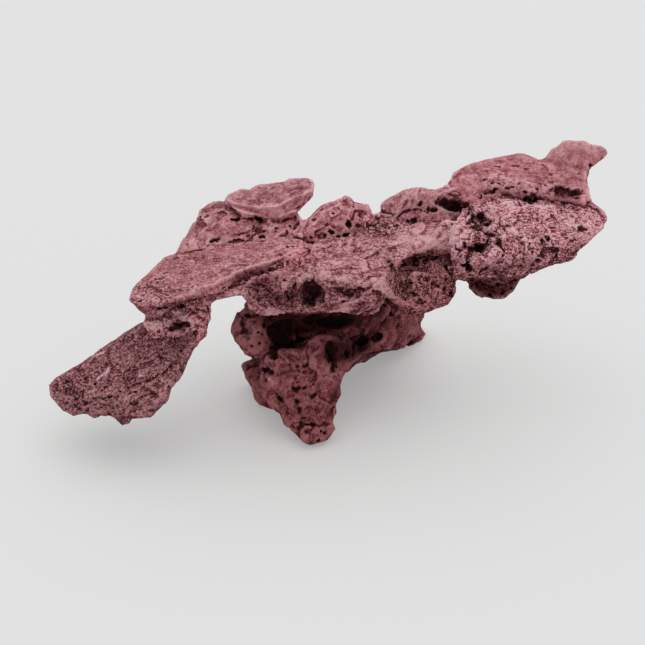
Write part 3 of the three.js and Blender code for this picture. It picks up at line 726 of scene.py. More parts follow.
def make_mesh(name, P, quad):
    me = bpy.data.meshes.new(name)
    me.vertices.add(len(P))
    me.vertices.foreach_set("co", np.ascontiguousarray(P, dtype=F4).ravel())
    me.loops.add(quad.size)
    me.loops.foreach_set("vertex_index", np.ascontiguousarray(quad, dtype=np.int32).ravel())
    me.polygons.add(len(quad))
    me.polygons.foreach_set("loop_start", np.arange(0, quad.size, 4, dtype=np.int32))
    me.polygons.foreach_set("use_smooth", np.ones(len(quad), bool))
    me.update(calc_edges=True)
    ob = bpy.data.objects.new(name, me)
    bpy.context.scene.collection.objects.link(ob)
    return ob


# ============================================================== materials
def tones(level, red=1.0, light=1.0):
    """dark, middle and light tone of the purple crust; darker is redder"""
    dark = (0.150 * level, 0.037 * level / red, 0.046 * level / red)
    mid = (0.44 * level, 0.174 * level / red, 0.198 * level / red)
    high = (0.84 * level * light, 0.53 * level * light / red, 0.56 * level * light / red)
    return dark, mid, high


LOOKS = {
    # tones, depth of the micro relief, fibre direction (or None), fibre share, roughness
    # the base's tones are darker and redder, partly as painted shade from the rocks above it
    "base_rock": dict(tones=tones(0.52, 1.66), grain=1.1, fibre=None, share=0.0, rough=0.92, speck=0.3, gs=1.1),
    "centre_rock": dict(tones=tones(0.98, 1.14), grain=1.35, fibre=(0.94, -0.19, 0.28), share=0.9, rough=0.95, speck=0.5, gs=1.4),
    "under_shelf_rock": dict(tones=tones(0.74, 1.52), grain=1.8, fibre=(0.8, 0.2, -0.4), share=0.7, rough=0.95, speck=1.0, gs=3.1),
    "left_shelf_plate": dict(tones=tones(0.94, 1.16), grain=1.2, fibre=(0.96, 0.23, 0.15), share=0.5, rough=0.94, speck=0.3, gs=1.3),
    "left_joint_rock": dict(tones=tones(1.36, 1.22), grain=1.6, fibre=None, share=0.0, rough=0.96, speck=0.8, gs=2.3),
    "lower_left_slab": dict(tones=tones(0.68, 1.36), grain=1.6, fibre=(0.88, 0.28, 0.38), share=1.2, rough=0.95, speck=1.3, gs=2.9),
    "back_left_rock": dict(tones=tones(0.87, 1.18), grain=0.8, fibre=None, share=0.0, rough=0.93, speck=0.25, gs=0.8),
    "top_left_flake": dict(tones=tones(1.02, 1.04), grain=0.8, fibre=(0.8, 0.6, 0.0), share=0.25, rough=0.9, speck=0.15, gs=0.6),
    "back_knob_rock": dict(tones=tones(1.14, 1.14), grain=0.9, fibre=None, share=0.0, rough=0.93, speck=0.35, gs=0.8),
    "back_lobe_rock": dict(tones=tones(0.99, 1.12), grain=0.9, fibre=None, share=0.0, rough=0.93, speck=0.4, gs=0.9),
    "right_front_block": dict(tones=tones(1.36, 1.14), grain=1.6, fibre=(0.95, -0.29, -0.14), share=1.5, rough=0.96, speck=0.7, gs=2.1),
    "right_back_plate": dict(tones=tones(1.03, 1.18), grain=0.8, fibre=(0.9, 0.3, 0.2), share=0.2, rough=0.9, speck=0.2, gs=0.6),
}


class Graph:
    def __init__(self, mat):
        self.t = mat.node_tree
        self.t.nodes.clear()
        self.x = 0

    def n(self, kind, **kw):
        nd = self.t.nodes.new(kind)
        self.x += 40
        nd.location = (self.x, 0)
        for k, v in kw.items():
            setattr(nd, k, v)
        return nd

    def put(self, sock, v):
        if isinstance(v, bpy.types.NodeSocket):
            self.t.links.new(v, sock)
        else:
            sock.default_value = v

    def math(self, op, a, b=0.0, c=None, clamp=False):
        nd = self.n("ShaderNodeMath", operation=op, use_clamp=clamp)
        self.put(nd.inputs[0], a)
        self.put(nd.inputs[1], b)
        if c is not None:
            self.put(nd.inputs[2], c)
        return nd.outputs[0]

    def noise(self, vec, scale, detail=3.0, rough=0.55, dist=0.0):
        nd = self.n("ShaderNodeTexNoise")
        self.put(nd.inputs["Vector"], vec)
        nd.inputs["Scale"].default_value = scale
        nd.inputs["Detail"].default_value = detail
        nd.inputs["Roughness"].default_value = rough
        nd.inputs["Distortion"].default_value = dist
        return nd.outputs["Fac"]

    def voronoi(self, vec, scale, feature="F1"):
        nd = self.n("ShaderNodeTexVoronoi", feature=feature)
        self.put(nd.inputs["Vector"], vec)
        nd.inputs["Scale"].default_value = scale
        return nd.outputs["Distance"]

    def attr(self, name):
        nd = self.n("ShaderNodeAttribute", attribute_name=name, attribute_type="GEOMETRY")
        return nd.outputs["Fac"]

    def mix(self, f, a, b, mode="MIX"):
        nd = self.n("ShaderNodeMix", data_type="RGBA", blend_type=mode)
        self.put(nd.inputs[0], f)
        self.put(nd.inputs[6], a if isinstance(a, bpy.types.NodeSocket) else (*a, 1))
        self.put(nd.inputs[7], b if isinstance(b, bpy.types.NodeSocket) else (*b, 1))
        return nd.outputs[2]


def material(slot, rock):
    look = LOOKS[rock]
    mat = bpy.data.materials.new(slot)
    mat.use_nodes = True
    g = Graph(mat)
    out = g.n("ShaderNodeOutputMaterial")
    bsdf = g.n("ShaderNodeBsdfPrincipled")
    g.t.links.new(bsdf.outputs[0], out.inputs[0])
    pos = g.n("ShaderNodeTexCoord").outputs["Object"]

    ridge, swell, deep, under = g.attr("ridge"), g.attr("swell"), g.attr("deep"), g.attr("under")
    light, red, grey = g.attr("light"), g.attr("red"), g.attr("grey")

    broad = g.noise(pos, 26.0, 3.0, 0.6)            # patches 40 mm across
    patch = g.noise(pos, 110.0, 4.0, 0.66)          # mottling 9 mm across
    grit = g.noise(pos, 480.0, 3.0, 0.7)            # grains 2 mm across
    dust = g.noise(pos, 1050.0, 2.0, 0.65)          # sand 1 mm across
    pore = g.voronoi(pos, 430.0)
    if look["fibre"] is not None:
        m = along(look["fibre"])
        rot = g.n("ShaderNodeVectorRotate", rotation_type="AXIS_ANGLE")
        # turn the fibre direction onto X, then squeeze across it
        a = np.array(look["fibre"], float)
        a /= np.linalg.norm(a)
        axis = np.cross(a, (1, 0, 0))
        s = np.linalg.norm(axis)
        g.put(rot.inputs["Vector"], pos)
        rot.inputs["Axis"].default_value = tuple(axis / max(s, 1e-6))
        rot.inputs["Angle"].default_value = math.asin(min(1.0, s))
        mp = g.n("ShaderNodeMapping")
        g.put(mp.inputs["Vector"], rot.outputs[0])
        mp.inputs["Scale"].default_value = (0.36, 1.0, 1.0)
        fibre = g.noise(mp.outputs[0], 760.0, 3.0, 0.65, 0.4)
    else:
        fibre = g.noise(pos, 300.0, 3.0, 0.6, 0.8)

    vor = g.n("ShaderNodeTexVoronoi", feature="F1")
    g.put(vor.inputs["Vector"], pos)
    vor.inputs["Scale"].default_value = 880.0
    sand = vor.outputs["Color"]                      # one tone per grain, about 1 mm
    speck = g.noise(pos, 560.0, 2.0, 0.6, 0.5)
    pock = g.math("MULTIPLY", g.math("SUBTRACT", speck, 0.60), 8.0, clamp=True)      # dark pores, 1 to 2 mm
    fleck = g.math("MULTIPLY", g.math("SUBTRACT", 0.41, speck), 8.0, clamp=True)      # pale grains
    gs = look["gs"]
    # tone: 0 dark, 0.5 middle, 1 light
    # lighter on ridges and swells, darker in creases: painted shade and highlight, together with edge wear
    t = g.math("MULTIPLY_ADD", ridge, 0.26, 0.50)
    t = g.math("MULTIPLY_ADD", swell, 0.14, t)
    t = g.math("MULTIPLY_ADD", g.math("SUBTRACT", patch, 0.5), 0.75, t)
    t = g.math("MULTIPLY_ADD", g.math("SUBTRACT", broad, 0.5), 0.35, t)
    fine = g.math("MULTIPLY", g.math("SUBTRACT", grit, 0.5), 1.1 * gs)
    fine = g.math("MULTIPLY_ADD", g.math("SUBTRACT", dust, 0.5), 0.8 * gs, fine)
    fine = g.math("MULTIPLY_ADD", g.math("SUBTRACT", sand, 0.5), 0.34 * gs, fine)
    fine = g.math("MULTIPLY_ADD", g.math("SUBTRACT", fibre, 0.5), 0.2 + 1.4 * look["share"], fine)
    fine = g.math("MAXIMUM", g.math("MULTIPLY", fine, 1.15), g.math("MULTIPLY", fine, 0.8))
    t = g.math("MULTIPLY_ADD", fine, g.math("ADD", g.attr("rough"), 1.0), t)
    t = g.math("MULTIPLY_ADD", pock, -0.16 * look["speck"], t)
    t = g.math("MULTIPLY_ADD", fleck, 0.34 * look["speck"], t)
    # painted shade: darker where the surface lies deep in a hollow
    t = g.math("MULTIPLY_ADD", deep, -0.34, t)
    # painted shade: undersides darker
    t = g.math("MULTIPLY_ADD", under, -0.25 if rock in ("centre_rock", "top_left_flake") else -0.5, t)
    # painted shade: steep and front faces darker
    front = 0.0 if rock in ("base_rock", "left_joint_rock", "top_left_flake", "lower_left_slab", "back_knob_rock") else 0.13
    t = g.math("MULTIPLY_ADD", g.attr("steep"), -front, t)
    # light tints: painted light and painted shade, with some paler and darker patches of crust
    t = g.math("ADD", t, light)
    ramp = g.n("ShaderNodeValToRGB")
    g.put(ramp.inputs[0], g.math("MULTIPLY", t, 0.6667))
    r = ramp.color_ramp
    r.elements[0].position, r.elements[0].color = 0.0, (*[c * 0.42 for c in look["tones"][0]], 1)
    pale = (1.2, 1.34, 1.32) if rock in ("lower_left_slab", "under_shelf_rock", "left_joint_rock") else (1.05, 1.08, 1.06)
    r.elements[1].position, r.elements[1].color = 1.0, (*[min(0.95, c * s) for c, s in zip(look["tones"][2], pale)], 1)
    r.interpolation = "LINEAR"
    for at, col in ((0.147, look["tones"][0]), (0.333, look["tones"][1]), (0.667, look["tones"][2])):
        e = r.elements.new(at)
        e.color = (*col, 1)
    col = ramp.outputs[0]
    # redder and greyer growths; steep faces are made redder as painted shade, and the red tints stand partly for the
    # redder look of shaded faces
    hue = g.noise(pos, 44.0, 2.0, 0.5)
    wine = g.math("ADD", g.math("MULTIPLY", g.math("SUBTRACT", hue, 0.52), 2.4, clamp=True), g.math("MULTIPLY_ADD", g.attr("steep"), 0.4, red), clamp=True)
    col = g.mix(g.math("MULTIPLY", wine, 0.45), col, g.mix(1.0, col, (1.12, 0.66, 0.70), "MULTIPLY"))
    dull = g.math("ADD", g.math("MULTIPLY", g.math("SUBTRACT", g.noise(pos, 70.0, 3.0, 0.6), 0.56), 3.0, clamp=True), grey, clamp=True)
    col = g.mix(g.math("MULTIPLY", dull, 0.4), col, g.mix(1.0, col, (0.86, 1.04, 1.03), "MULTIPLY"))
    # chalky crumbs
    crumb = g.math("MULTIPLY_ADD", g.math("SUBTRACT", speck, 0.5), -3.0, g.math("MULTIPLY_ADD", g.math("SUBTRACT", grit, 0.5), 2.5, 0.75))
    chalk = g.math("MULTIPLY", g.attr("chalk"), crumb, clamp=True)
    col = g.mix(chalk, col, (0.94, 0.60, 0.64))
    # painted shade: dark red-brown in holes, hollows, the cave, under overhangs and on shaded faces
    shade = g.math("MULTIPLY", g.attr("shade"), 1.0, clamp=True)
    col = g.mix(shade, col, g.mix(1.0, col, (0.17, 0.06, 0.07), "MULTIPLY"))
    g.put(bsdf.inputs["Base Color"], col)

    rough = g.math("MULTIPLY_ADD", grit, 0.16, look["rough"] - 0.10, clamp=True)
    g.put(bsdf.inputs["Roughness"], rough)
    bsdf.inputs["Specular IOR Level"].default_value = 0.22

    hgt = g.math("MULTIPLY", grit, 0.8)
    hgt = g.math("MULTIPLY_ADD", dust, 0.55, hgt)
    hgt = g.math("MULTIPLY_ADD", pore, 0.35, hgt)
    hgt = g.math("MULTIPLY_ADD", pock, -0.7 * look["speck"], hgt)
    hgt = g.math("MULTIPLY_ADD", fibre, 0.35 + look["share"], hgt)
    hgt = g.math("MULTIPLY_ADD", patch, 0.6, hgt)
    bump = g.n("ShaderNodeBump")
    bump.inputs["Strength"].default_value = 0.9
    bump.inputs["Distance"].default_value = 0.0009 * look["grain"]
    g.put(bump.inputs["Height"], hgt)
    g.put(bsdf.inputs["Normal"], bump.outputs[0])
    return mat


# ============================================================== floor, light, camera
def stage():
    me = bpy.data.meshes.new("floor")
    s = 8.0
    me.from_pydata([(-s, -s, 0), (s, -s, 0), (s, s, 0), (-s, s, 0)], [], [(0, 1, 2, 3)])
    ob = bpy.data.objects.new("floor", me)
    bpy.context.scene.collection.objects.link(ob)
    mat = bpy.data.materials.new("pale_floor")
    mat.use_nodes = True
    b = mat.node_tree.nodes["Principled BSDF"]
    b.inputs["Base Color"].default_value = (0.49, 0.494, 0.49, 1)
    b.inputs["Emission Color"].default_value = (1.0, 1.0, 0.99, 1)
    b.inputs["Emission Strength"].default_value = 0.285
    b.inputs["Roughness"].default_value = 0.6
    b.inputs["Specular IOR Level"].default_value = 0.2
    me.materials.append(mat)

    def sun(name, tilt, turn, angle, power, colour):
        li = bpy.data.lights.new(name, "SUN")
        li.energy, li.angle, li.color = power, math.radians(angle), colour
        o = bpy.data.objects.new(name, li)
        o.rotation_euler = (math.radians(tilt), 0, math.radians(turn))
        bpy.context.scene.collection.objects.link(o)
    sun("key_light", 12, 150, 100, 1.75, (1.0, 0.995, 0.985))
    w = bpy.data.worlds.new("studio")
    w.use_nodes = True
    bg = w.node_tree.nodes["Background"]
    bg.inputs[0].default_value = (0.96, 0.98, 1.0, 1)
    bg.inputs[1].default_value = 0.42
    bpy.context.scene.world = w

    cam = bpy.data.cameras.new("camera")
    cam.lens, cam.sensor_width, cam.sensor_height, cam.sensor_fit = LENS, SENSOR, SENSOR, "HORIZONTAL"
    co = bpy.data.objects.new("camera", cam)
    co.location = tuple(EYE / 1000.0)
    co.rotation_euler = Vector(FWD).to_track_quat("-Z", "Y").to_euler()
    bpy.context.scene.collection.objects.link(co)
    bpy.context.scene.camera = co
    vs = bpy.context.scene.view_settings
    vs.view_transform = "Standard"
    vs.look = "None"


# ============================================================== recipes of relief
def smooth(x, lo, hi):
    t = np.clip((x - lo) / (hi - lo), 0, 1)
    return t * t * (3 - 2 * t)


def relief(seed, broad=(1.5, 26), mid=(1.2, 11), fine=(0.6, 4.5), grit=(0.3, 2.2), warp=2.0, grains=None, crumbs=None, cell=None,
           fibre=None, layers=None, strands=None, local=None, out=0.35, chips=None):
    """grains (height, size) packed crumbs; crumbs (depth, wave, threshold[, direction, stretch]) eats pores in; cell (depth, size) round
    borings; fibre (height, across, length, direction); strands (height, wave) thin crests; layers (height, period, normal);
    local: list of (px, py, radius px, gain)"""
    def fn(P, N):
        W = np.stack([vnoise(P, 8.0, 31), vnoise(P, 8.0, 32), vnoise(P, 8.0, 33)], 1)
        Q = P + W * warp
        gain = np.ones(len(P), F4)
        for px, py, r, gval in local or ():
            c = pick(px, py)[0]
            w = smooth(1 - np.linalg.norm(P - c, axis=1) / (r * mm_per_px(c)), 0, 0.8)
            gain = gain + (gval - 1) * w
        d = out + broad[0] * vnoise(P, broad[1], 40)
        d += mid[0] * (vnoise(Q, mid[1], 41) + 0.5 * vnoise(Q, mid[1] * 0.53, 42)) * np.minimum(gain, 1.3)
        rid = 0.5 - np.abs(vnoise(Q, fine[1], seed + 2))
        d += fine[0] * (rid + 0.8 * vnoise(Q, fine[1] * 0.62, seed + 3)) * gain
        d += grit[0] * vnoise(P, grit[1], seed + 4) * gain
        if chips:
            for amp, size in chips:
                d += amp * facets(P + W * (size * 0.12), size, 43) * np.minimum(gain, 1.3)
        if grains:
            amp, size = grains
            c1, c2 = cells(Q, size, seed + 14)
            d += amp * (0.45 - c1) * gain
        if strands:
            amp, wave = strands
            s = 1 - np.abs(vnoise(Q + W * 1.5, wave, seed + 15)) * 2.2
            d += amp * np.clip(s, 0, 1) ** 3 * gain
        if crumbs:
            amp, wave, th = crumbs[:3]
            if len(crumbs) > 3:
                R = Q @ along(crumbs[3])
                n = vnoise(R, (wave * crumbs[4], wave, wave), seed + 5)
            else:
                n = vnoise(Q, wave, seed + 5)
            n = n + 0.45 * vnoise(Q, wave * 0.45, seed + 6)
            d -= amp * smooth(n, th, th + 0.5) * gain
        if cell:
            amp, size = cell
            c1, c2 = cells(Q, size, seed + 7)
            mask = smooth(vnoise(P, 20.0, seed + 8), -0.25, 0.25)
            d -= amp * mask * smooth(0.42 - c1, 0.0, 0.22) * gain
        if fibre:
            amp, across, length, direction = fibre
            R = Q @ along(direction)
            s = 1 - 2 * np.abs(vnoise(R, (length, across, across), seed + 9))
            s += 0.5 * vnoise(R, (length * 0.5, across * 0.55, across * 0.55), seed + 10)
            d += amp * s * np.clip(0.6 + 0.6 * vnoise(P, 15.0, seed + 11), 0.1, 1) * gain
        if layers:
            amp, period, normal = layers
            n = np.asarray(normal, float)
            n = (n / np.linalg.norm(n)).astype(F4)
            hgt = P @ n + 1.3 * W[:, 0]
            flat = np.stack([hgt / period, P[:, 0] / 60, P[:, 1] / 60], 1)
            side = 1 - np.abs(N @ n)
            d += amp * vnoise(flat, 1.0, seed + 12) * np.clip(side * 1.5, 0, 1)
        return d
    return fn


# ============================================================== marks seen on each rock (picture points)
# --- flake, top left: dished top with a sharp rim, tall front face, undercut
D_TOP = plane_of([(229, 198), (243, 206), (262, 206), (280, 203), (300, 194), (310, 187), (300, 181), (280, 183), (258, 189), (240, 193)], "top_left_flake")
bench(D_TOP, [(226, 200), (234, 204), (243, 208.5), (255, 207.5), (265, 207.5), (280, 205.5), (293, 200), (303, 195), (312, 190.5), (316, 187)],
      (3.0, 5.0, 7.0, 10.0, 12.5, 15.0, 14.5, 13.0, 11.5, 9.0), grow=0.8, reach=15, fill=30, light=0.03, up=7.0, down=6.0, rough=1.5)
tint("red", [(240, 213), (262, 214), (282, 213), (298, 206), (309, 198)], 8, 0.3)
tint("light", [(250, 214), (270, 215), (288, 212), (302, 204)], 8, 0.16)
for x, y, w in ((299, 208, 3.5), (304, 205, 3), (309, 200, 3), (294, 211, 3), (313, 192, 3.5)):
    hole(x, y, w, 6, 3.0, early=True, rock="top_left_flake")
line([(257, 218), (262, 222), (270, 223.5), (280, 220), (288, 216.5)], [1.3, 1.5, 1.3, 1.3, 0.9], sink=1.2, dark=0.55)
hole(258, 219, 9, 6, 5, dark=0.3)
hole(249, 213, 6, 4, 2.5, dark=0.15)
hole(258, 228, 9, 12, 2.2, k=1.5, dark=0.25)
for x, y in ((297, 209), (302, 206.5), (309, 203)):
    hole(x, y, 2.2, 5, 2.0, rock="top_left_flake")
# --- back left rock
hole(236, 220, 8.5, 8.5, 4.2, bias=0.75, dark=0.35, rock="back_left_rock")
hole(216, 239.5, 12, 7, 5, turn=20, bias=0.7, dark=0.35, rock="back_left_rock")
hole(211.5, 241, 5, 4, 3.5, dark=0.2, rock="back_left_rock")
hole(207.5, 217.5, 4.5, 6, 3.5, dark=0.3, rock="back_left_rock")
hole(219, 207, 16, 10, 2.0, k=2, early=True, dark=0.2, rock="back_left_rock")
line([(237, 242), (245, 237.5), (253, 230.5), (253, 222), (247, 212)], 0.9, sink=0.5, dark=0.15)
line([(252, 236), (262, 231), (275, 232)], 1.2, sink=1.0, dark=0.2)
hole(261.7, 236.7, 7, 5.5, 6, bias=0.9, dark=0.7)
for x, y, w, h in ((247, 235, 6, 4), (250, 238, 4, 3), (283, 236, 6, 6), (287, 232, 4, 5), (295, 228, 5, 5), (290, 226, 3, 4), (299, 225, 4, 4), (276, 229, 5, 3),
                   (287, 247, 4.5, 3), (292.5, 247, 4, 3), (298, 246.5, 3, 2.5), (304, 242, 3, 4), (308, 244, 3, 5), (313, 243, 3, 5), (311, 238, 3, 3)):
    hole(x, y, w, h, 2.6, dark=0.25)
lump(270, 228, 18, 11, 1.6, k=2)
# --- shelf plate: sharp front rim, upright front face, crack over the ledge
B_TOP = plane_of([(196, 286), (213, 282), (237, 270), (262, 262), (290, 252), (262, 250), (235, 260), (212, 270), (196, 276)], "left_shelf_plate")
bench(B_TOP, [(197, 288.5), (205, 287), (213, 285), (225, 279), (237, 272.5), (250, 267), (262, 264), (270, 262), (287, 255.5), (298, 251)], (7.6, 8.2), grow=3.0, reach=11, fill=12, light=0.12)
LEDGE = (B_TOP[0] - B_TOP[1] * 8.8, B_TOP[1])
bench(LEDGE, [(204, 296), (208, 294.5), (220, 288.5), (237, 283), (247, 280.5), (258, 273.5), (275, 270)], (6.2, 15.5), grow=6.4, reach=5, fill=9, out=0.5, above=False, rough=0.7)
lump(288, 263, 34, 12, 4.0, turn=22, k=2.5, sink=1.0)
line([(208, 294.5), (220, 288.5), (237, 283), (247, 280.5), (258, 273.5), (275, 270)], [1.0, 1.2, 1.0, 1.0, 1.2, 1.0], sink=0.8, dark=0.35)
for x, y, w in ((224, 286.5, 8), (230, 285, 7), (237, 283, 4), (256.5, 274, 6), (266, 271, 6), (273, 270, 9)):
    hole(x, y, w, 2.6, 3.4, turn=14, dark=0.5)
hole(141, 301, 7, 2.6, 2.6, dark=0.35)
hole(246.7, 265, 4, 4, 2.4, dark=0.3)
hole(165, 273, 6, 5, 2.0, dark=0.25)
hole(160, 279, 10, 5, 1.4, k=1.5, dark=0.12)
tint("red", [(292, 262), (305, 255)], 18, 1.3)
# --- joint: dark band under the plate's thick end, pale smear with a black hole
line([(150, 305), (160, 307), (174, 307), (186, 306)], [1.6, 2.0, 2.0, 1.5], sink=1.0, dark=0.35)
hole(181, 306, 7, 5, 4, dark=0.5)
hole(166, 315, 14, 7, 2.6, k=1.2, dark=0.22)
lump(186, 317, 17, 12, 2.0)
lump(155, 324, 20, 9, 1.3)
tint("light", [(182, 312), (190, 320)], 9, 0.12)
tint("light", [(150, 326), (166, 320)], 8, 0.12)
tint("rough", [(150, 326), (166, 320), (186, 318)], 14, 0.6)
hole(179, 325.5, 19, 10, 9, turn=12, bias=0.8, dark=0.9)
hole(171, 329, 8, 4.5, 5, dark=0.5)
hole(187, 324, 6, 5, 5, dark=0.4)
hole(194.5, 333, 7, 5, 3, dark=0.3)
# --- lowest slab
line([(94, 358), (99, 355), (104, 352)], 0.9, add=True, sink=0.3, rock="lower_left_slab")
line([(99, 379), (104, 375), (110, 369)], 1.0, add=True, sink=0.3, rock="lower_left_slab")
line([(139, 376), (144, 374), (150, 369)], 0.9, add=True, sink=0.3, rock="lower_left_slab")
tint("chalk", [(94, 357), (98, 355), (104, 352)], 2.3, 1.3)
tint("chalk", [(98, 379), (103, 375), (106, 374), (109, 369)], 2.6, 1.5)
tint("chalk", [(139, 376), (143, 374), (149, 369)], 2.3, 1.3)
tint("chalk", [(161, 378), (162, 380)], 1.8, 1.2)
tint("chalk", [(90, 392), (97, 398)], 5.0, 0.3)
tint("chalk", [(120, 362), (130, 358)], 3.0, 0.35)
tint("chalk", [(112, 388), (120, 384)], 3.0, 0.35)
tint("chalk", [(376, 284), (388, 292), (400, 301)], 4.0, 0.55)
tint("chalk", [(299, 283), (306, 276), (320, 274)], 3.5, 0.45)
tint("chalk", [(270, 379), (273, 384)], 3.0, 0.8)
tint("chalk", [(180, 315), (188, 318)], 5, 0.22)
tint("light", [(178, 314), (192, 322)], 9, 0.25)
tint("light", [(150, 325), (164, 322)], 8, 0.18)
tint("shade", [(160, 352), (172, 350), (178, 342)], 12, 0.2, rock="lower_left_slab")
tint("light", [(91, 390), (98, 395)], 7.0, 0.15)
tint("light", [(161.5, 378), (163, 379.5)], 2.0, 0.4)
for x, y, w, h in ((66, 382, 9, 5), (86, 379, 6, 5), (75, 399, 8, 6), (84, 404, 8, 6), (79, 409, 6, 4), (70, 393, 6, 5), (88, 410, 5, 6), (111, 396.5, 10, 3.5), (104, 399, 6, 3),
                   (135, 404, 11, 7), (141, 407, 7, 6), (128, 387, 8, 3), (140, 384, 9, 3), (150, 381, 7, 3), (120, 392, 7, 3), (96, 384, 5, 4), (120, 372, 5, 4), (136, 392, 7, 3)):
    hole(x, y, w * 0.8, h * 0.75, 2.0, turn=18, dark=0.22, rock="lower_left_slab")
line([(91, 399), (102, 397), (114, 395.5), (126, 388.5), (148, 381), (163, 374), (173, 362), (183, 348)], 0.9, sink=0.6, dark=0.15, rock="lower_left_slab")
line([(93, 413), (104, 412), (114, 409), (124, 412), (134, 414), (147, 410)], 0.9, add=True, light=0.12, rock="lower_left_slab")
# a stub under the slab's front edge, painted dark as shade
q = pick(119, 411, "lower_left_slab")[0]
c = EYE + ray(122, 419) * (np.linalg.norm(q - EYE) + 3)
EARLY.append(("ball", c, view_axes(-10, (0, -1, 0), 0.0), (6.5, 5.5, 6), True, 1.5, "lower_left_slab"))
TINTS.append(("shade", [c - ray(122, 419) * 12, c + ray(122, 419) * 16], 6.5, 0.95))
TINTS.append(("shade", [c, EYE + ray(125, 422) * np.linalg.norm(c - EYE)], 5.0, 0.9))
# --- centre rock: socket, rims, spongy part, scalloped lip
line([(322, 274.5), (311, 272.5), (301.5, 278), (296.5, 288), (296.5, 300), (303, 311), (314, 315.5)], 2.5, add=True, early=True, sink=0.9, k=1.3, rock="centre_rock")
hole(311, 293.5, 27, 32, 16, turn=-12, bias=0.8, k=1.0, early=True, dark=0.36)
hole(309, 302, 19, 16, 12, bias=0.85, k=1.0, early=True, dark=0.4)
line([(297.5, 287), (300.5, 279), (310, 273.5), (322, 274.5)], 1.10, add=True, early=True, sink=0.65, light=0.25)
line([(321, 279), (330, 286), (341, 288), (353, 285.5), (362, 285.5), (373, 280)], 1.02, add=True, early=True, sink=0.60, light=0.2)
hole(345, 294, 42, 14, 4.6, turn=-8, k=1.8, bias=0.8, early=True, dark=0.06)
hole(352, 292, 18, 10, 5.5, turn=10, bias=0.8, early=True, dark=0.42)
hole(346, 296, 9, 6, 4.5, dark=0.35)
hole(361, 289, 8, 5, 3.5, dark=0.25)
hole(344, 302, 5, 5, 3.5, dark=0.3)
hole(296, 282.5, 4.5, 8, 4, turn=-25, dark=0.4)
line([(247, 292), (257, 287), (267, 283), (276, 280)], [3.5, 4.5, 4.5, 3.0], add=True, early=True, sink=3.6, k=3.0, rock="centre_rock")
hole(268, 292, 14, 9, 2.6, turn=-32, k=2.0, early=True, dark=0.15)
hole(283, 300, 15, 9, 2.6, turn=-32, k=2.0, early=True, dark=0.15)
line([(262, 284), (276, 293), (292, 306)], 1.2, sink=0.6, early=True, dark=0.15)
line([(256, 291), (268, 301), (282, 310)], 1.2, sink=0.6, early=True, dark=0.12)
line([(250, 296), (258, 304), (270, 312)], 1.2, add=True, early=True, sink=0.5, light=0.12)
line([(257, 286), (268, 295), (278, 307)], 1.1, add=True, early=True, sink=0.5, light=0.16)
line([(268, 282), (280, 292), (288, 306)], 1.1, add=True, early=True, sink=0.5, light=0.16)
line([(280, 279), (290, 290), (294, 302)], 1.0, add=True, early=True, sink=0.5, light=0.12)
hole(386, 304, 22, 14, 9.0, turn=-38, k=1.0, early=True, dark=0.7, rock="centre_rock")
hole(366, 312, 22, 6, 5.0, turn=22, k=1.0, early=True, bias=0.95, rock="centre_rock")
line([(258, 313), (264, 318.5), (273, 316), (284, 312), (294, 317.5), (307, 319.5), (316, 315), (321, 317.5), (330, 315.5), (344, 309.5), (360, 305.5), (374, 303)], 1.10, add=True, early=True, sink=0.65, light=0.22, rock="centre_rock")
line([(332, 308), (345, 303), (360, 299), (370, 293)], 0.9, add=True, light=0.1, rock="centre_rock")
tint("shade", [(256, 288), (270, 290), (284, 300)], 20, 0.7)
tint("shade", [(258, 281), (272, 278), (286, 276), (294, 284), (296, 300)], 9, 0.42)
tint("red", [(258, 281), (272, 278), (286, 276)], 12, 0.8)
tint("shade", [(344, 290), (356, 289)], 8, 0.2)
tint("light", [(330, 304), (350, 301), (366, 295)], 8, 0.16)
tint("rough", [(258, 289), (276, 296), (292, 302)], 22, 2.2)
tint("red", [(258, 289), (276, 296), (292, 302)], 20, 1.1)
tint("shade", [(300, 290), (296, 300), (290, 306)], 8, 0.3)
tint("rough", [(398, 262), (412, 262), (434, 262)], 16, 1.0)
tint("rough", [(400, 285), (430, 285)], 26, 0.7)
tint("shade", [(404, 286), (432, 288)], 15, 0.22)
tint("shade", [(448, 206), (458, 206), (467, 207)], 10, 0.3)
tint("rough", [(472, 222), (484, 244)], 20, 0.7)
tint("rough", [(140, 290), (165, 295)], 26, 0.8)
tint("rough", [(488, 184), (515, 190), (548, 192)], 10, 1.6)
tint("light", [(490, 177), (504, 178), (520, 184)], 3, 0.15)
tint("light", [(560, 155), (585, 158)], 24, 0.28)
tint("light", [(400, 240), (425, 238), (445, 240)], 18, 0.50)
tint("light", [(80, 395), (66, 388)], 22, -0.14)
tint("light", [(160, 322), (185, 318)], 18, 0.16)
tint("light", [(150, 292), (165, 297)], 22, -0.2)
# painted light: lighter lip and buttress
tint("light", [(270, 312), (285, 311), (305, 315), (325, 314), (345, 310)], 9, 0.72)
tint("light", [(246, 318), (252, 342)], 20, 0.56, rock="base_rock")
tint("shade", [(475, 268), (505, 268), (530, 262)], 14, 0.4)
tint("shade", [(495, 290), (480, 288)], 15, 0.16)
tint("shade", [(548, 252), (570, 248)], 12, 0.16)
tint("shade", [(282, 320), (310, 324), (345, 320), (378, 312)], 13, 1.2, rock="base_rock")
tint("shade", [(340, 356), (352, 350), (366, 344)], 18, 0.5, rock="base_rock")
tint("shade", [(300, 400), (320, 405)], 22, 0.14, rock="base_rock")
tint("shade", [(478, 286), (500, 287), (520, 277)], 20, 0.8)
tint("shade", [(485, 292), (500, 294), (512, 288)], 9, 0.3)
tint("light", [(556, 232), (575, 222), (592, 218)], 12, 0.08)
lump(371.5, 296, 9, 18, 3.4, turn=8, k=1.0, rock="centre_rock")
tint("shade", [(213, 292), (237, 279), (258, 271), (285, 262)], 7, 0.42)
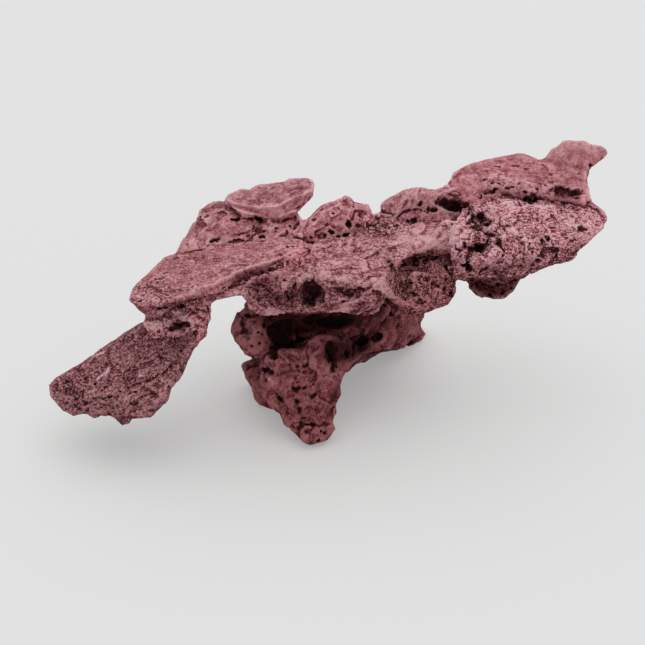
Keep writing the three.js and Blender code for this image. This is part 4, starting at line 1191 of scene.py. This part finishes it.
tint("red", [(213, 290), (237, 278), (258, 270), (285, 261)], 9, 0.6)
tint("shade", [(66, 402), (90, 408), (120, 408), (150, 406)], 10, 0.28, rock="lower_left_slab")
tint("light", [(425, 222), (442, 218), (458, 230)], 14, 0.12)
tint("shade", [(455, 292), (478, 284)], 10, 0.1)
tint("red", [(371, 292), (373, 302)], 7, 1.0)
tint("light", [(371, 294), (372, 300)], 5, -0.25)
tint("light", [(316, 248), (335, 246), (358, 242), (385, 243)], 9, 0.1)
tint("light", [(318, 268), (340, 262), (352, 258)], 9, 0.14)
tint("light", [(362, 226), (378, 228), (392, 236)], 14, -0.25)
line([(366, 232), (380, 224), (388, 218)], 0.8, add=True, light=0.1)
hole(386, 228, 11, 6, 3.0, turn=-40, dark=0.3)
hole(373, 227, 8, 4, 2.4, turn=-30, dark=0.25)
hole(396, 226, 6, 5, 2.5, dark=0.25)
hole(391, 216, 6, 5, 3.0, dark=0.35)
lump(388, 220, 16, 13, 5.0, k=1.6, rock="centre_rock")
lump(373, 226, 26, 12, 3.2, turn=14, k=2.0, rock="centre_rock")
tint("rough", [(370, 226), (388, 219), (398, 228)], 14, 1.0)
line([(309, 256), (318, 249), (332, 245.5), (346, 244.5), (360, 245.5), (373, 249), (383, 254), (391, 261)], [2.0, 2.6, 2.8, 3.0, 3.0, 3.0, 2.8, 2.2], add=True, early=True, sink=1.3, k=1.6, light=0.1, rock="centre_rock")
# --- shelf of the centre rock and the recess under it
hole(444, 233, 4.5, 3.5, 4, dark=0.55)
line([(436, 231), (441, 233.5), (448, 234)], 0.7, sink=0.2, dark=0.15)
line([(382, 256), (400, 253), (424, 250), (436, 246), (447, 250), (453, 247)], 1.02, add=True, early=True, sink=0.60, light=0.2)
hole(416, 265, 56, 22, 10.0, turn=9, bias=0.9, k=1.5, early=True, rock="under_shelf_rock")
tint("red", [(398, 262), (420, 262), (440, 256)], 14, 0.7)
hole(416, 259, 52, 17, 6.0, turn=9, k=1.8, bias=0.9, early=True, dark=0.1, rock="centre_rock")
tint("shade", [(388, 262), (391, 272)], 9, 0.5)
hole(430, 253, 16, 8, 4.0, turn=10, k=1.5, early=True, dark=0.25)
hole(391, 266, 12, 14, 5.0, k=1.5, early=True, dark=0.35)
hole(449, 269.5, 16, 7, 10, turn=-6, bias=0.95, dark=0.9)
hole(468.5, 268, 8, 5, 7, bias=0.95, dark=0.8)
hole(458, 250, 9, 7, 5, dark=0.4)
hole(465, 246, 6, 8, 5, dark=0.35)
hole(455, 262, 6, 5, 4, dark=0.3)
line([(456, 254), (462, 260), (464, 268), (463, 276)], [3.2, 3.6, 3.6, 3.2], add=True, early=True, rock="right_front_block")
# --- rock under the shelf
line([(373, 282), (381, 288), (389, 294), (402, 302), (416, 306)], [2.4, 2.8, 3.0, 2.6, 1.4], add=True, early=True, lift=1.2, k=1.2, light=0.45)
line([(377, 293), (386, 301), (397, 308)], [2.6, 2.8, 2.2], sink=2.5, early=True, dark=0.7)
hole(384, 304, 16, 8, 7, turn=-35, k=1.0, early=True, dark=0.6)
hole(406, 287, 16, 13, 3.4, k=1.2, dark=0.28)
hole(412, 294, 10, 8, 3.0, dark=0.22)
hole(451.5, 294, 6, 7.5, 5.0, dark=0.55)
hole(444, 289, 4, 5, 3.0, dark=0.3)
hole(433, 283, 5, 4, 3.0, dark=0.3)
hole(427, 280, 4, 4, 3.0, dark=0.25)
hole(420, 302, 14, 6, 2.4, turn=10, dark=0.22)
hole(438, 286, 4, 5, 2.6, dark=0.2)
# --- knob behind the middle
lump(347, 199, 9, 9, 3.0, rock="back_knob_rock")
hole(349, 224, 6.5, 9, 6, dark=0.5)
hole(331.5, 232.5, 7, 4.5, 5, turn=-15, dark=0.6)
hole(345.5, 236, 10, 5, 6, turn=15, dark=0.6)
hole(339, 237, 6, 4, 4, dark=0.3)
hole(314, 219, 5, 5, 1.6, dark=0.12)
hole(321, 208.5, 5, 4, 1.6, dark=0.12)
hole(333, 214, 3.5, 3.0, 1.6, dark=0.12)
hole(327, 225, 4, 3, 1.4, dark=0.12)
hole(358, 226, 7, 5, 1.6, k=1.2, dark=0.12)
hole(322, 236, 12, 6, 2.5, k=1.2, dark=0.2)
line([(320, 214), (332, 208), (343, 203)], 0.9, add=True, light=0.1, rock="back_knob_rock")
line([(352, 202), (355, 212), (352, 220)], 1.0, sink=0.3, dark=0.12, rock="back_knob_rock")
hole(362, 214, 10, 8, 1.6, k=1.5, dark=0.12)
# --- lobe behind the shelf
hole(420.5, 203.5, 5.5, 8, 4, turn=-20, dark=0.4)
hole(414.3, 222.5, 8, 6.5, 6, dark=0.55)
hole(408, 221, 5, 4, 3, dark=0.3)
hole(432, 210, 12, 5, 3.5, dark=0.35)
hole(455, 206, 27, 14, 8.5, turn=-8, k=2.4, bias=0.7, early=True, dark=0.6)
hole(440, 203, 14, 10, 3.5, turn=30, k=2.5, early=True, dark=0.25)
tint("shade", [(440, 203), (452, 206), (466, 209)], 9, 0.2)
hole(465, 208, 12, 6, 8, turn=-25, dark=0.6)
line([(394, 220), (404, 212), (418, 209), (428, 213)], 0.9, sink=0.4, dark=0.15)
line([(437, 196), (446, 191), (457, 194)], 1.0, add=True, light=0.08)
# --- bored block on the right: a smooth lobe carries the shelf on, then deep hollows
p, n, who = pick(452, 233, "centre_rock")
EARLY.append(("ball", p - FWD * 2, view_axes(-20, n, 0.3), (14, 12, 7), True, 3.0, None))
p, n, who = pick(461, 236, "right_front_block")
EARLY.append(("ball", p + FWD * 3, view_axes(-60, n, 0.3), (14, 9, 6), True, 3.0, "right_front_block"))
line([(468, 208), (473, 218), (475, 231), (474, 244), (467, 255)], [2.6, 3.2, 3.4, 3.2, 2.6], sink=2.6, early=True, dark=0.5, rock="right_front_block")
hole(480, 215, 12, 13, 9.0, turn=-20, k=0.8, early=True, dark=0.35, rock="right_front_block")
hole(487, 223, 12, 15, 9.0, turn=20, k=0.8, early=True, dark=0.35, rock="right_front_block")
hole(481, 229, 9, 11, 8.0, turn=-30, k=0.8, early=True, dark=0.3, rock="right_front_block")
hole(491, 235, 8, 12, 6.0, turn=10, k=0.8, early=True, dark=0.25, rock="right_front_block")
hole(480, 247, 15, 12, 12.0, k=0.8, early=True, dark=0.9, rock="right_front_block")
tint("shade", [(470, 210), (475, 224), (475, 244), (468, 256)], 5, 0.7, rock="right_front_block")
line([(492, 210), (497, 222), (499, 236)], 1.6, add=True, early=True, sink=0.4, light=0.15, rock="right_front_block")
line([(541, 232), (543, 244), (541, 260)], [1.0, 1.9, 1.6], sink=1.2, early=True, dark=0.22, rock="right_front_block")
line([(486, 230), (488, 240), (483, 248)], [4.0, 4.0, 3.6], sink=2.6, early=True, dark=0.35, rock="right_front_block")
tint("shade", [(458, 256), (462, 270), (463, 282)], 10, 0.5, rock="right_front_block")
tint("shade", [(482, 268), (505, 264), (530, 260)], 12, 0.2, rock="right_front_block")
tint("light", [(492, 210), (520, 206), (550, 208)], 12, 0.14, rock="right_front_block")
tint("light", [(272, 213), (286, 213), (298, 210)], 7, 0.2, rock="top_left_flake")
tint("light", [(352, 345), (385, 333), (412, 326)], 16, 0.12, rock="base_rock")
lump(530, 246, 20, 26, 3.0, k=2.0, rock="right_front_block")
line([(548, 262), (562, 253), (578, 244), (592, 232)], 1.2, sink=0.8, early=True, dark=0.3, rock="right_front_block")
line([(552, 254), (566, 245), (584, 236)], 1.1, sink=0.8, early=True, dark=0.3, rock="right_front_block")
hole(497, 242, 7, 13, 6.0, k=0.8, early=True, dark=0.5, rock="right_front_block")
hole(465, 264, 15, 12, 8.0, bias=0.9, k=1.0, early=True, dark=0.85, rock="right_front_block")
tint("light", [(455, 228), (463, 238)], 12, 0.1, rock="right_front_block")
# a ball of crust closes the gap between the block and the rock under the shelf, painted dark as shade
q = pick(457.5, 271, "right_front_block")[0]
c = EYE + ray(452.5, 271.5) * (np.linalg.norm(q - EYE) + 4.0)
LATE.append(("ball", c, view_axes(-60, (0, -1, 0), 0.0), (4.8, 4.6, 4.8), True, 1.2, "right_front_block"))
TINTS.append(("shade", [c - ray(452.5, 271.5) * 5, c + ray(452.5, 271.5) * 4], 4.6, 0.8))
tint("shade", [(484, 215), (484, 232), (486, 246)], 9, 0.25, rock="right_front_block")
line([(457, 217), (464, 210), (470, 207), (482, 208), (496, 205)], 1.02, add=True, early=True, sink=0.60, light=0.18, rock="right_front_block")
for x, y, w, h, dp, dk in ((468.6, 224, 10, 9, 6, .4), (481.5, 220, 13, 16, 8, .45), (485, 212, 6, 6, 4, .3), (479, 246.5, 9.5, 5.5, 7, .65), (498.6, 243, 6, 13, 5, .4), (489, 238, 7, 6, 4, .3),
                           (517, 248, 7, 6, 4, .35), (538, 261, 11, 7, 6, .45), (548, 238, 8, 7, 5, .4), (536, 232, 7, 6, 4, .35), (542, 246, 6, 6, 4, .3),
                           (566, 245, 8, 3.5, 5, .5), (560, 247, 5, 3, 3, .3), (582, 229, 12, 8, 4, .3), (576, 226, 6, 5, 3, .3), (585, 212, 11, 2.6, 3, .3), (563, 218, 6, 5, 4, .35),
                           (558, 214, 5, 4, 3, .3), (520, 222, 6, 5, 4, .35), (524, 226, 5, 4, 3, .3), (546, 229, 6, 4, 3, .3), (555, 228, 6, 4, 3, .25), (508, 212, 6, 4, 3, .3),
                           (514, 205, 5, 4, 3, .25), (497, 212, 5, 4, 3, .25), (531, 214, 4, 4, 3, .25), (505, 226, 5, 4, 3, .25), (513, 234, 5, 3, 3, .25), (596, 224, 8, 3, 3, .3),
                           (602, 216, 5, 3, 2, .2), (490, 257, 6, 4, 3, .3), (503, 258, 5, 4, 3, .25), (549, 256, 6, 6, 3, .3), (525, 259, 8, 5, 3, .3), (470, 255, 6, 6, 4, .35),
                           (556, 240, 6, 5, 3, .25), (572, 237, 6, 4, 3, .3), (478, 207, 4, 4, 3, .2), (491, 228, 5, 5, 3, .3), (527, 236, 5, 4, 3, .3)):
    if w * h > 50:
        hole(x, y, w * 0.9, h * 0.75, dp, turn=-14, dark=dk)
hole(547, 254, 14, 15, 5.0, turn=10, k=1.6, early=True, dark=0.2, rock="right_front_block")
line([(495, 226), (499, 240), (503, 256)], [1.6, 2.2, 1.6], sink=1.0, early=True, dark=0.3, rock="right_front_block")
line([(469, 277), (482, 270), (500, 262), (514, 258)], 1.0, sink=0.6, early=True, dark=0.12)
line([(472, 285), (488, 276), (508, 272), (526, 268)], 1.1, sink=0.7, early=True, dark=0.15)
line([(478, 291), (495, 287), (512, 281)], 0.9, sink=0.5, early=True, dark=0.12)
for x, y, w, h in ((482, 291, 6, 5), (489, 295, 6, 4), (503, 293, 5, 4), (498, 284, 7, 4), (511, 288, 5, 4), (476, 284, 5, 4), (515, 280, 6, 3), (493, 278, 7, 3), (524, 272, 8, 3)):
    hole(x, y, w * 0.8, h * 0.7, 2.0, turn=10, dark=0.25)
# --- plate with the tip
line([(477, 207), (482, 198), (484, 186), (490, 176), (495, 171), (508, 174), (522, 182), (540, 186), (552, 184)], 0.9, add=True, early=True, sink=0.55, light=0.05)
for x, y, w, h, dp in ((485, 180, 6, 7, 3), (492, 183, 6, 5, 3), (499, 184, 6, 5, 3.5), (507, 188, 7, 6, 4), (513, 187, 5, 5, 3), (519, 184, 4, 4, 2), (525, 192, 7, 6, 4), (532, 194, 6, 5, 3),
                       (540, 197, 6, 4, 3), (503, 180, 4, 3, 2), (548, 192, 5, 4, 3), (537, 189, 5, 3, 2.5), (497, 167, 14, 3, 1.6), (515, 166, 12, 5, 2), (526, 169, 8, 4, 2), (552, 175, 6, 4, 2)):
    hole(x, y, w * 0.75, h * 0.65, dp * 0.7, turn=-14, dark=0.28)
line([(482, 196), (492, 192), (510, 196), (530, 200), (548, 202)], [2.2, 3.0, 3.4, 3.2, 2.4], sink=0.8, early=True, dark=0.3, k=1.5, rock="right_back_plate")
hole(567, 191, 34, 10, 7.0, turn=-6, bias=0.85, k=1.0, early=True, dark=0.45)
hole(558, 189, 14, 9, 6.0, turn=10, bias=0.85, k=1.0, early=True, dark=0.3)
tint("shade", [(482, 192), (497, 191), (512, 194), (528, 198), (545, 200)], 8, 0.6, rock="right_back_plate")
tint("shade", [(486, 182), (500, 183), (520, 188), (540, 193)], 8, 0.25, rock="right_back_plate")
line([(556, 195.5), (563, 196.5), (570, 196), (580, 198)], 1.0, sink=1.8, dark=0.6)
hole(590.5, 166, 5, 7, 3.5, dark=0.3)
# --- base: bored buttress, cave, tongue with its hollows, arm
lump(242, 308, 12, 9, 2.6, k=1.2, rock="base_rock")
lump(240, 340, 11, 12, 2.6, k=1.2, rock="base_rock")
lump(254, 324, 10, 9, 2.2, k=1.2, rock="base_rock")
lump(250, 350, 14, 10, 2.4, k=1.2, rock="base_rock")
hole(248, 331, 16, 8, 3.0, k=1.4, early=True, dark=0.12, rock="base_rock")
line([(258, 318), (262, 330), (262, 344), (256, 356)], [1.2, 1.8, 1.8, 1.4], add=True, early=True, sink=0.8, light=0.08, rock="base_rock")
hole(246, 315, 8, 5.5, 6, dark=0.7, rock="base_rock")
hole(241.7, 323, 5.5, 9, 5, turn=-10, dark=0.45, rock="base_rock")
for x, y, w, h in ((253, 330, 5, 4), (258, 332, 5, 4), (262, 334, 5, 4), (249, 338, 5, 4), (246, 331, 4, 4), (255, 322, 4, 5), (264, 326, 5, 5), (236, 333, 3, 4), (252, 346, 5, 4), (260, 343, 6, 5)):
    hole(x, y, w * 0.8, h * 0.8, 2.2, dark=0.25, rock="base_rock")
hole(288, 334, 46, 30, 12, bias=1.0, k=2.0, early=True, dark=0.5, rock="base_rock")
hole(330, 322, 60, 16, 10, bias=1.0, k=2.0, early=True, dark=0.5, rock="base_rock")
hole(284, 347, 34, 12, 9, bias=1.0, k=1.2, early=True, dark=0.6, rock="base_rock")
tint("shade", [(270, 322), (288, 326), (304, 324)], 15, 1.5, rock="base_rock")
tint("shade", [(274, 348), (290, 346), (300, 346)], 9, 1.2, rock="base_rock")
tint("red", [(276, 334), (300, 334)], 16, 0.8, rock="base_rock")
tint("shade", [(288, 334)], 16, 0.3, rock="base_rock")
tint("shade", [(284, 345), (262, 340)], 12, 0.5, rock="base_rock")
tint("shade", [(316, 322), (336, 320), (352, 318)], 15, 1.0, rock="base_rock")
tint("shade", [(335, 350), (348, 348), (360, 343)], 22, 0.85, rock="base_rock")
# painted light on the buttress behind the tongue, where the overhang's shade falls
tint("light", [(252, 388), (262, 396), (270, 404)], 12, 0.25, rock="base_rock")
tint("shade", [(372, 330), (385, 322)], 16, 0.5, rock="base_rock")
hole(273, 355, 9.5, 10, 8, bias=0.9, dark=0.8, rock="base_rock")
hole(264, 370, 16, 6, 6, turn=4, bias=0.9, dark=0.6, rock="base_rock")
hole(258, 371, 7, 6, 6, dark=0.5, rock="base_rock")
hole(270, 373, 8, 5, 4, dark=0.3, rock="base_rock")
hole(265, 380, 6, 4.5, 4, dark=0.35, rock="base_rock")
lump(273, 384, 10, 11, 2.4, rock="base_rock")
tint("light", [(272, 381), (275, 388)], 5.5, 0.4, rock="base_rock")
tint("red", [(272, 381), (275, 388)], 8, 0.6, rock="base_rock")
line([(273.5, 387), (277.5, 392), (281.5, 401)], [1.5, 2.1, 1.8], sink=1.8, dark=0.7, rock="base_rock")
for x, y, w, h, dk in ((297.5, 366, 5, 4.5, .5), (303, 366, 5, 4, .5), (307, 365, 4, 4, .4), (299, 371, 4, 4, .4), (304, 372, 5, 4, .4), (296.7, 389.5, 11, 6, .45), (304, 388, 6, 4, .3), (293, 388, 5, 4, .3),
                       (311.7, 396.7, 7, 6, .4), (315, 394, 4, 4, .3), (297, 402, 5, 8, .3), (299, 410, 5, 8, .3), (303, 418.5, 9, 3, .3), (309, 410, 4, 8, .2), (292, 427, 6, 4, .3), (287, 421, 4, 4, .25),
                       (298, 428, 5, 4, .4), (313, 426, 8, 3.5, .4), (320, 431, 5, 5, .4), (324, 433, 4, 4, .3), (318, 439, 4, 4, .3), (297, 436, 4, 5, .3), (328, 428, 3, 4, .25), (322, 420, 4, 3, .25),
                       (258, 391, 5, 5, .25), (263, 396, 4, 4, .2), (254, 385, 4, 4, .2), (268, 404, 5, 4, .2), (320, 408, 5, 4, .2), (327, 415, 4, 4, .2), (333, 398, 5, 4, .2)):
    if dk >= 0.3:
        hole(x, y, w * 0.95, h * 0.85, 3.0, turn=7 * (x % 9) - 28, dark=dk, rock="base_rock")
lump(303, 405, 9, 14, 2.2, rock="base_rock")
lump(308.5, 433.5, 19, 17, 3.2, k=1.2, rock="base_rock")
line([(299.5, 426), (297.5, 433), (301, 441)], 0.9, sink=0.4, dark=0.2, rock="base_rock")
line([(303, 424.5), (312, 424.5), (318, 430), (318, 437)], 0.9, sink=0.4, dark=0.2, rock="base_rock")
line([(276, 352), (288, 352.5), (303, 353.5), (309, 345), (314, 336), (327, 332), (346, 330)], 1.10, add=True, early=True, sink=0.65, light=0.16, rock="base_rock")
hole(330, 352, 14, 26, 9.0, turn=8, k=1.0, early=True, dark=0.75, rock="base_rock")
hole(333, 367, 7, 11, 6.0, early=True, dark=0.6, rock="base_rock")
hole(348.5, 351, 12, 15, 7.5, k=1.0, early=True, dark=0.7, rock="base_rock")
line([(343, 340), (348, 336.5), (353, 333.5)], 1.19, add=True, early=True, sink=0.70, light=0.1, rock="base_rock")
hole(377.5, 337, 13, 11, 7.0, k=0.7, dark=0.8, rock="base_rock")
hole(362, 345, 13, 13, 5.0, k=1.4, early=True, dark=0.5, rock="base_rock")
hole(390, 314, 8, 11, 4.0, k=1.5, early=True, dark=0.3, rock="base_rock")
hole(398, 328, 7, 9, 2.5, k=1.5, early=True, dark=0.15, rock="base_rock")
tint("red", [(355, 325), (385, 315)], 22, 0.8, rock="base_rock")
tint("grey", [(403, 320), (418, 325)], 16, 0.6, rock="base_rock")

# ============================================================== the rocks
STREAK = (0.95, -0.29, -0.14)
LENGTH = (0.96, 0.23, 0.15)
SLOPE = (0.88, 0.28, 0.38)
RECIPES = {
    "top_left_flake": dict(voxel=0.78, soften=0.5,
                           fn=relief(101, (0.5, 22), (0.45, 9), (0.16, 3.4), (0.14, 1.8), chips=((0.6, 10),), grains=(0.12, 2.0), fibre=(0.1, 2.0, 11, (0.9, 0.45, 0.1)), out=0.15),
                           pits=[]),
    "back_left_rock": dict(voxel=0.88, soften=0.7,
                           fn=relief(111, (0.9, 24), (0.8, 9), (0.24, 3.8), (0.16, 1.9), chips=((1.8, 17), (0.7, 7)), grains=(0.16, 2.1), crumbs=(0.35, 4.0, 0.55)),
                           pits=[dict(count=12, rmin=0.6, rmax=1.2)]),
    "left_shelf_plate": dict(voxel=0.86, soften=0.6,
                             fn=relief(121, (0.6, 26), (0.5, 9), (0.2, 3.4), (0.16, 1.8), chips=((0.7, 12),), grains=(0.2, 2.0), fibre=(0.12, 2.2, 12, LENGTH), crumbs=(0.3, 3.2, 0.5),
                                      local=[(150, 290, 26, 1.9)]),
                             pits=[dict(count=14, rmin=0.5, rmax=1.0)]),
    "left_joint_rock": dict(voxel=0.8, soften=0.7,
                            fn=relief(131, (1.1, 18), (1.0, 8), (0.4, 3.4), (0.26, 1.8), chips=((1.8, 10), (0.8, 5)), grains=(0.35, 2.2), crumbs=(0.7, 3.6, 0.4)),
                            pits=[dict(count=20, rmin=0.5, rmax=1.1)]),
    "lower_left_slab": dict(voxel=0.83, soften=0.6,
                            fn=relief(141, (0.8, 22), (0.8, 9), (0.26, 3.2), (0.3, 1.8), chips=((1.6, 14), (0.6, 6)), warp=0.4, grains=(0.15, 2.0), fibre=(0.75, 1.7, 9, SLOPE), crumbs=(0.3, 2.0, 0.5, SLOPE, 2.4)),
                            pits=[dict(count=12, rmin=0.5, rmax=0.9, stretch=2.2, direction=SLOPE)]),
    "centre_rock": dict(voxel=0.85, soften=0.7,
                        fn=relief(151, (1.0, 26), (0.9, 10), (0.26, 3.6), (0.24, 1.9), chips=((1.4, 14), (0.5, 6)), warp=1.2, grains=(0.2, 2.0), strands=(0.5, 3.6), fibre=(0.5, 2.1, 9, (0.94, -0.19, 0.28)), crumbs=(0.25, 2.8, 0.44),
                                  local=[(222, 294, 22, 0.35), (240, 287, 14, 0.4), (277, 294, 26, 3.2), (376, 228, 22, 1.6), (409, 262, 24, 2.0), (296, 258, 14, 0.4), (312, 294, 15, 0.4), (371, 297, 9, 0.3)]),
                        pits=[dict(count=45, rmin=0.5, rmax=1.2, depth=1.6, where=[(277, 296, 20), (265, 290, 12)]),
                              dict(count=25, rmin=0.5, rmax=1.2, depth=1.6, where=[(410, 262, 22), (374, 228, 14)])]),
    "under_shelf_rock": dict(voxel=0.8, soften=0.7,
                             fn=relief(161, (1.1, 20), (1.0, 8), (0.5, 3.4), (0.3, 1.8), chips=((1.8, 10), (0.9, 5)), grains=(0.45, 2.1), strands=(0.9, 3.4), fibre=(0.4, 2.0, 8, (0.8, 0.2, -0.5)), crumbs=(0.9, 3.2, 0.35)),
                             pits=[dict(count=20, rmin=0.5, rmax=1.1, depth=1.6)]),
    "back_knob_rock": dict(voxel=0.8, soften=0.4,
                           fn=relief(171, (1.0, 16), (0.6, 8), (0.2, 3.6), (0.16, 1.9), chips=((2.0, 14), (0.5, 6)), grains=(0.16, 2.1), crumbs=(0.3, 3.8, 0.5)),
                           pits=[dict(count=8, rmin=0.5, rmax=0.9)]),
    "back_lobe_rock": dict(voxel=0.8, soften=0.6,
                           fn=relief(181, (1.0, 18), (0.6, 8), (0.2, 3.6), (0.16, 1.9), chips=((1.5, 14), (0.4, 6)), grains=(0.16, 2.1), crumbs=(0.3, 3.8, 0.5)),
                           pits=[dict(count=8, rmin=0.5, rmax=0.9)]),
    "right_front_block": dict(voxel=0.79, soften=0.6,
                              fn=relief(191, (0.9, 24), (0.7, 9), (0.3, 2.8), (0.35, 1.7), chips=((1.6, 15), (0.6, 6)), warp=0.5, grains=(0.12, 2.0), crumbs=(0.4, 1.8, 0.55, STREAK, 2.6), fibre=(0.5, 1.7, 8, STREAK), layers=(0.9, 3.4, (0.1, -0.2, 1)),
                                        local=[(459, 234, 13, 0.3)]),
                              pits=[dict(count=35, rmin=0.5, rmax=0.8, depth=1.5, stretch=3.2, direction=STREAK)]),
    "right_back_plate": dict(voxel=0.84, soften=0.6,
                             fn=relief(201, (0.9, 26), (0.6, 9), (0.14, 3.8), (0.12, 1.9), chips=((0.7, 15), (0.2, 6)), grains=(0.12, 2.1), fibre=(0.12, 2.2, 12, (0.95, 0.2, 0.1)), crumbs=(0.15, 3.8, 0.7),
                                       local=[(505, 186, 22, 4.0), (535, 192, 18, 4.0)]),
                             pits=[dict(count=35, rmin=0.5, rmax=1.2, depth=1.3, where=[(495, 182, 13), (520, 189, 14), (545, 192, 12)])]),
    "base_rock": dict(voxel=1.1, soften=0.9,
                      fn=relief(211, (1.5, 26), (1.3, 11), (0.32, 4.6), (0.2, 2.3), chips=((2.6, 19), (0.9, 9)), grains=(0.2, 2.8), crumbs=(0.3, 4.6, 0.6),
                                local=[(408, 325, 34, 0.3), (248, 330, 20, 2.0)]),
                      pits=[dict(count=22, rmin=0.7, rmax=1.4, depth=1.3, where=[(250, 332, 20)])]),
}

stage()
for name, rc in RECIPES.items():
    r = Rock(name, rc["voxel"], rc["soften"])
    r.marks(EARLY)
    r.fit_outline()
    r.relief(rc["fn"])
    for p in rc["pits"]:
        r.pits(**p)
    r.marks(LATE)
    r.trim()
    r.mesh(floor=0.0 if name == "base_rock" else None)
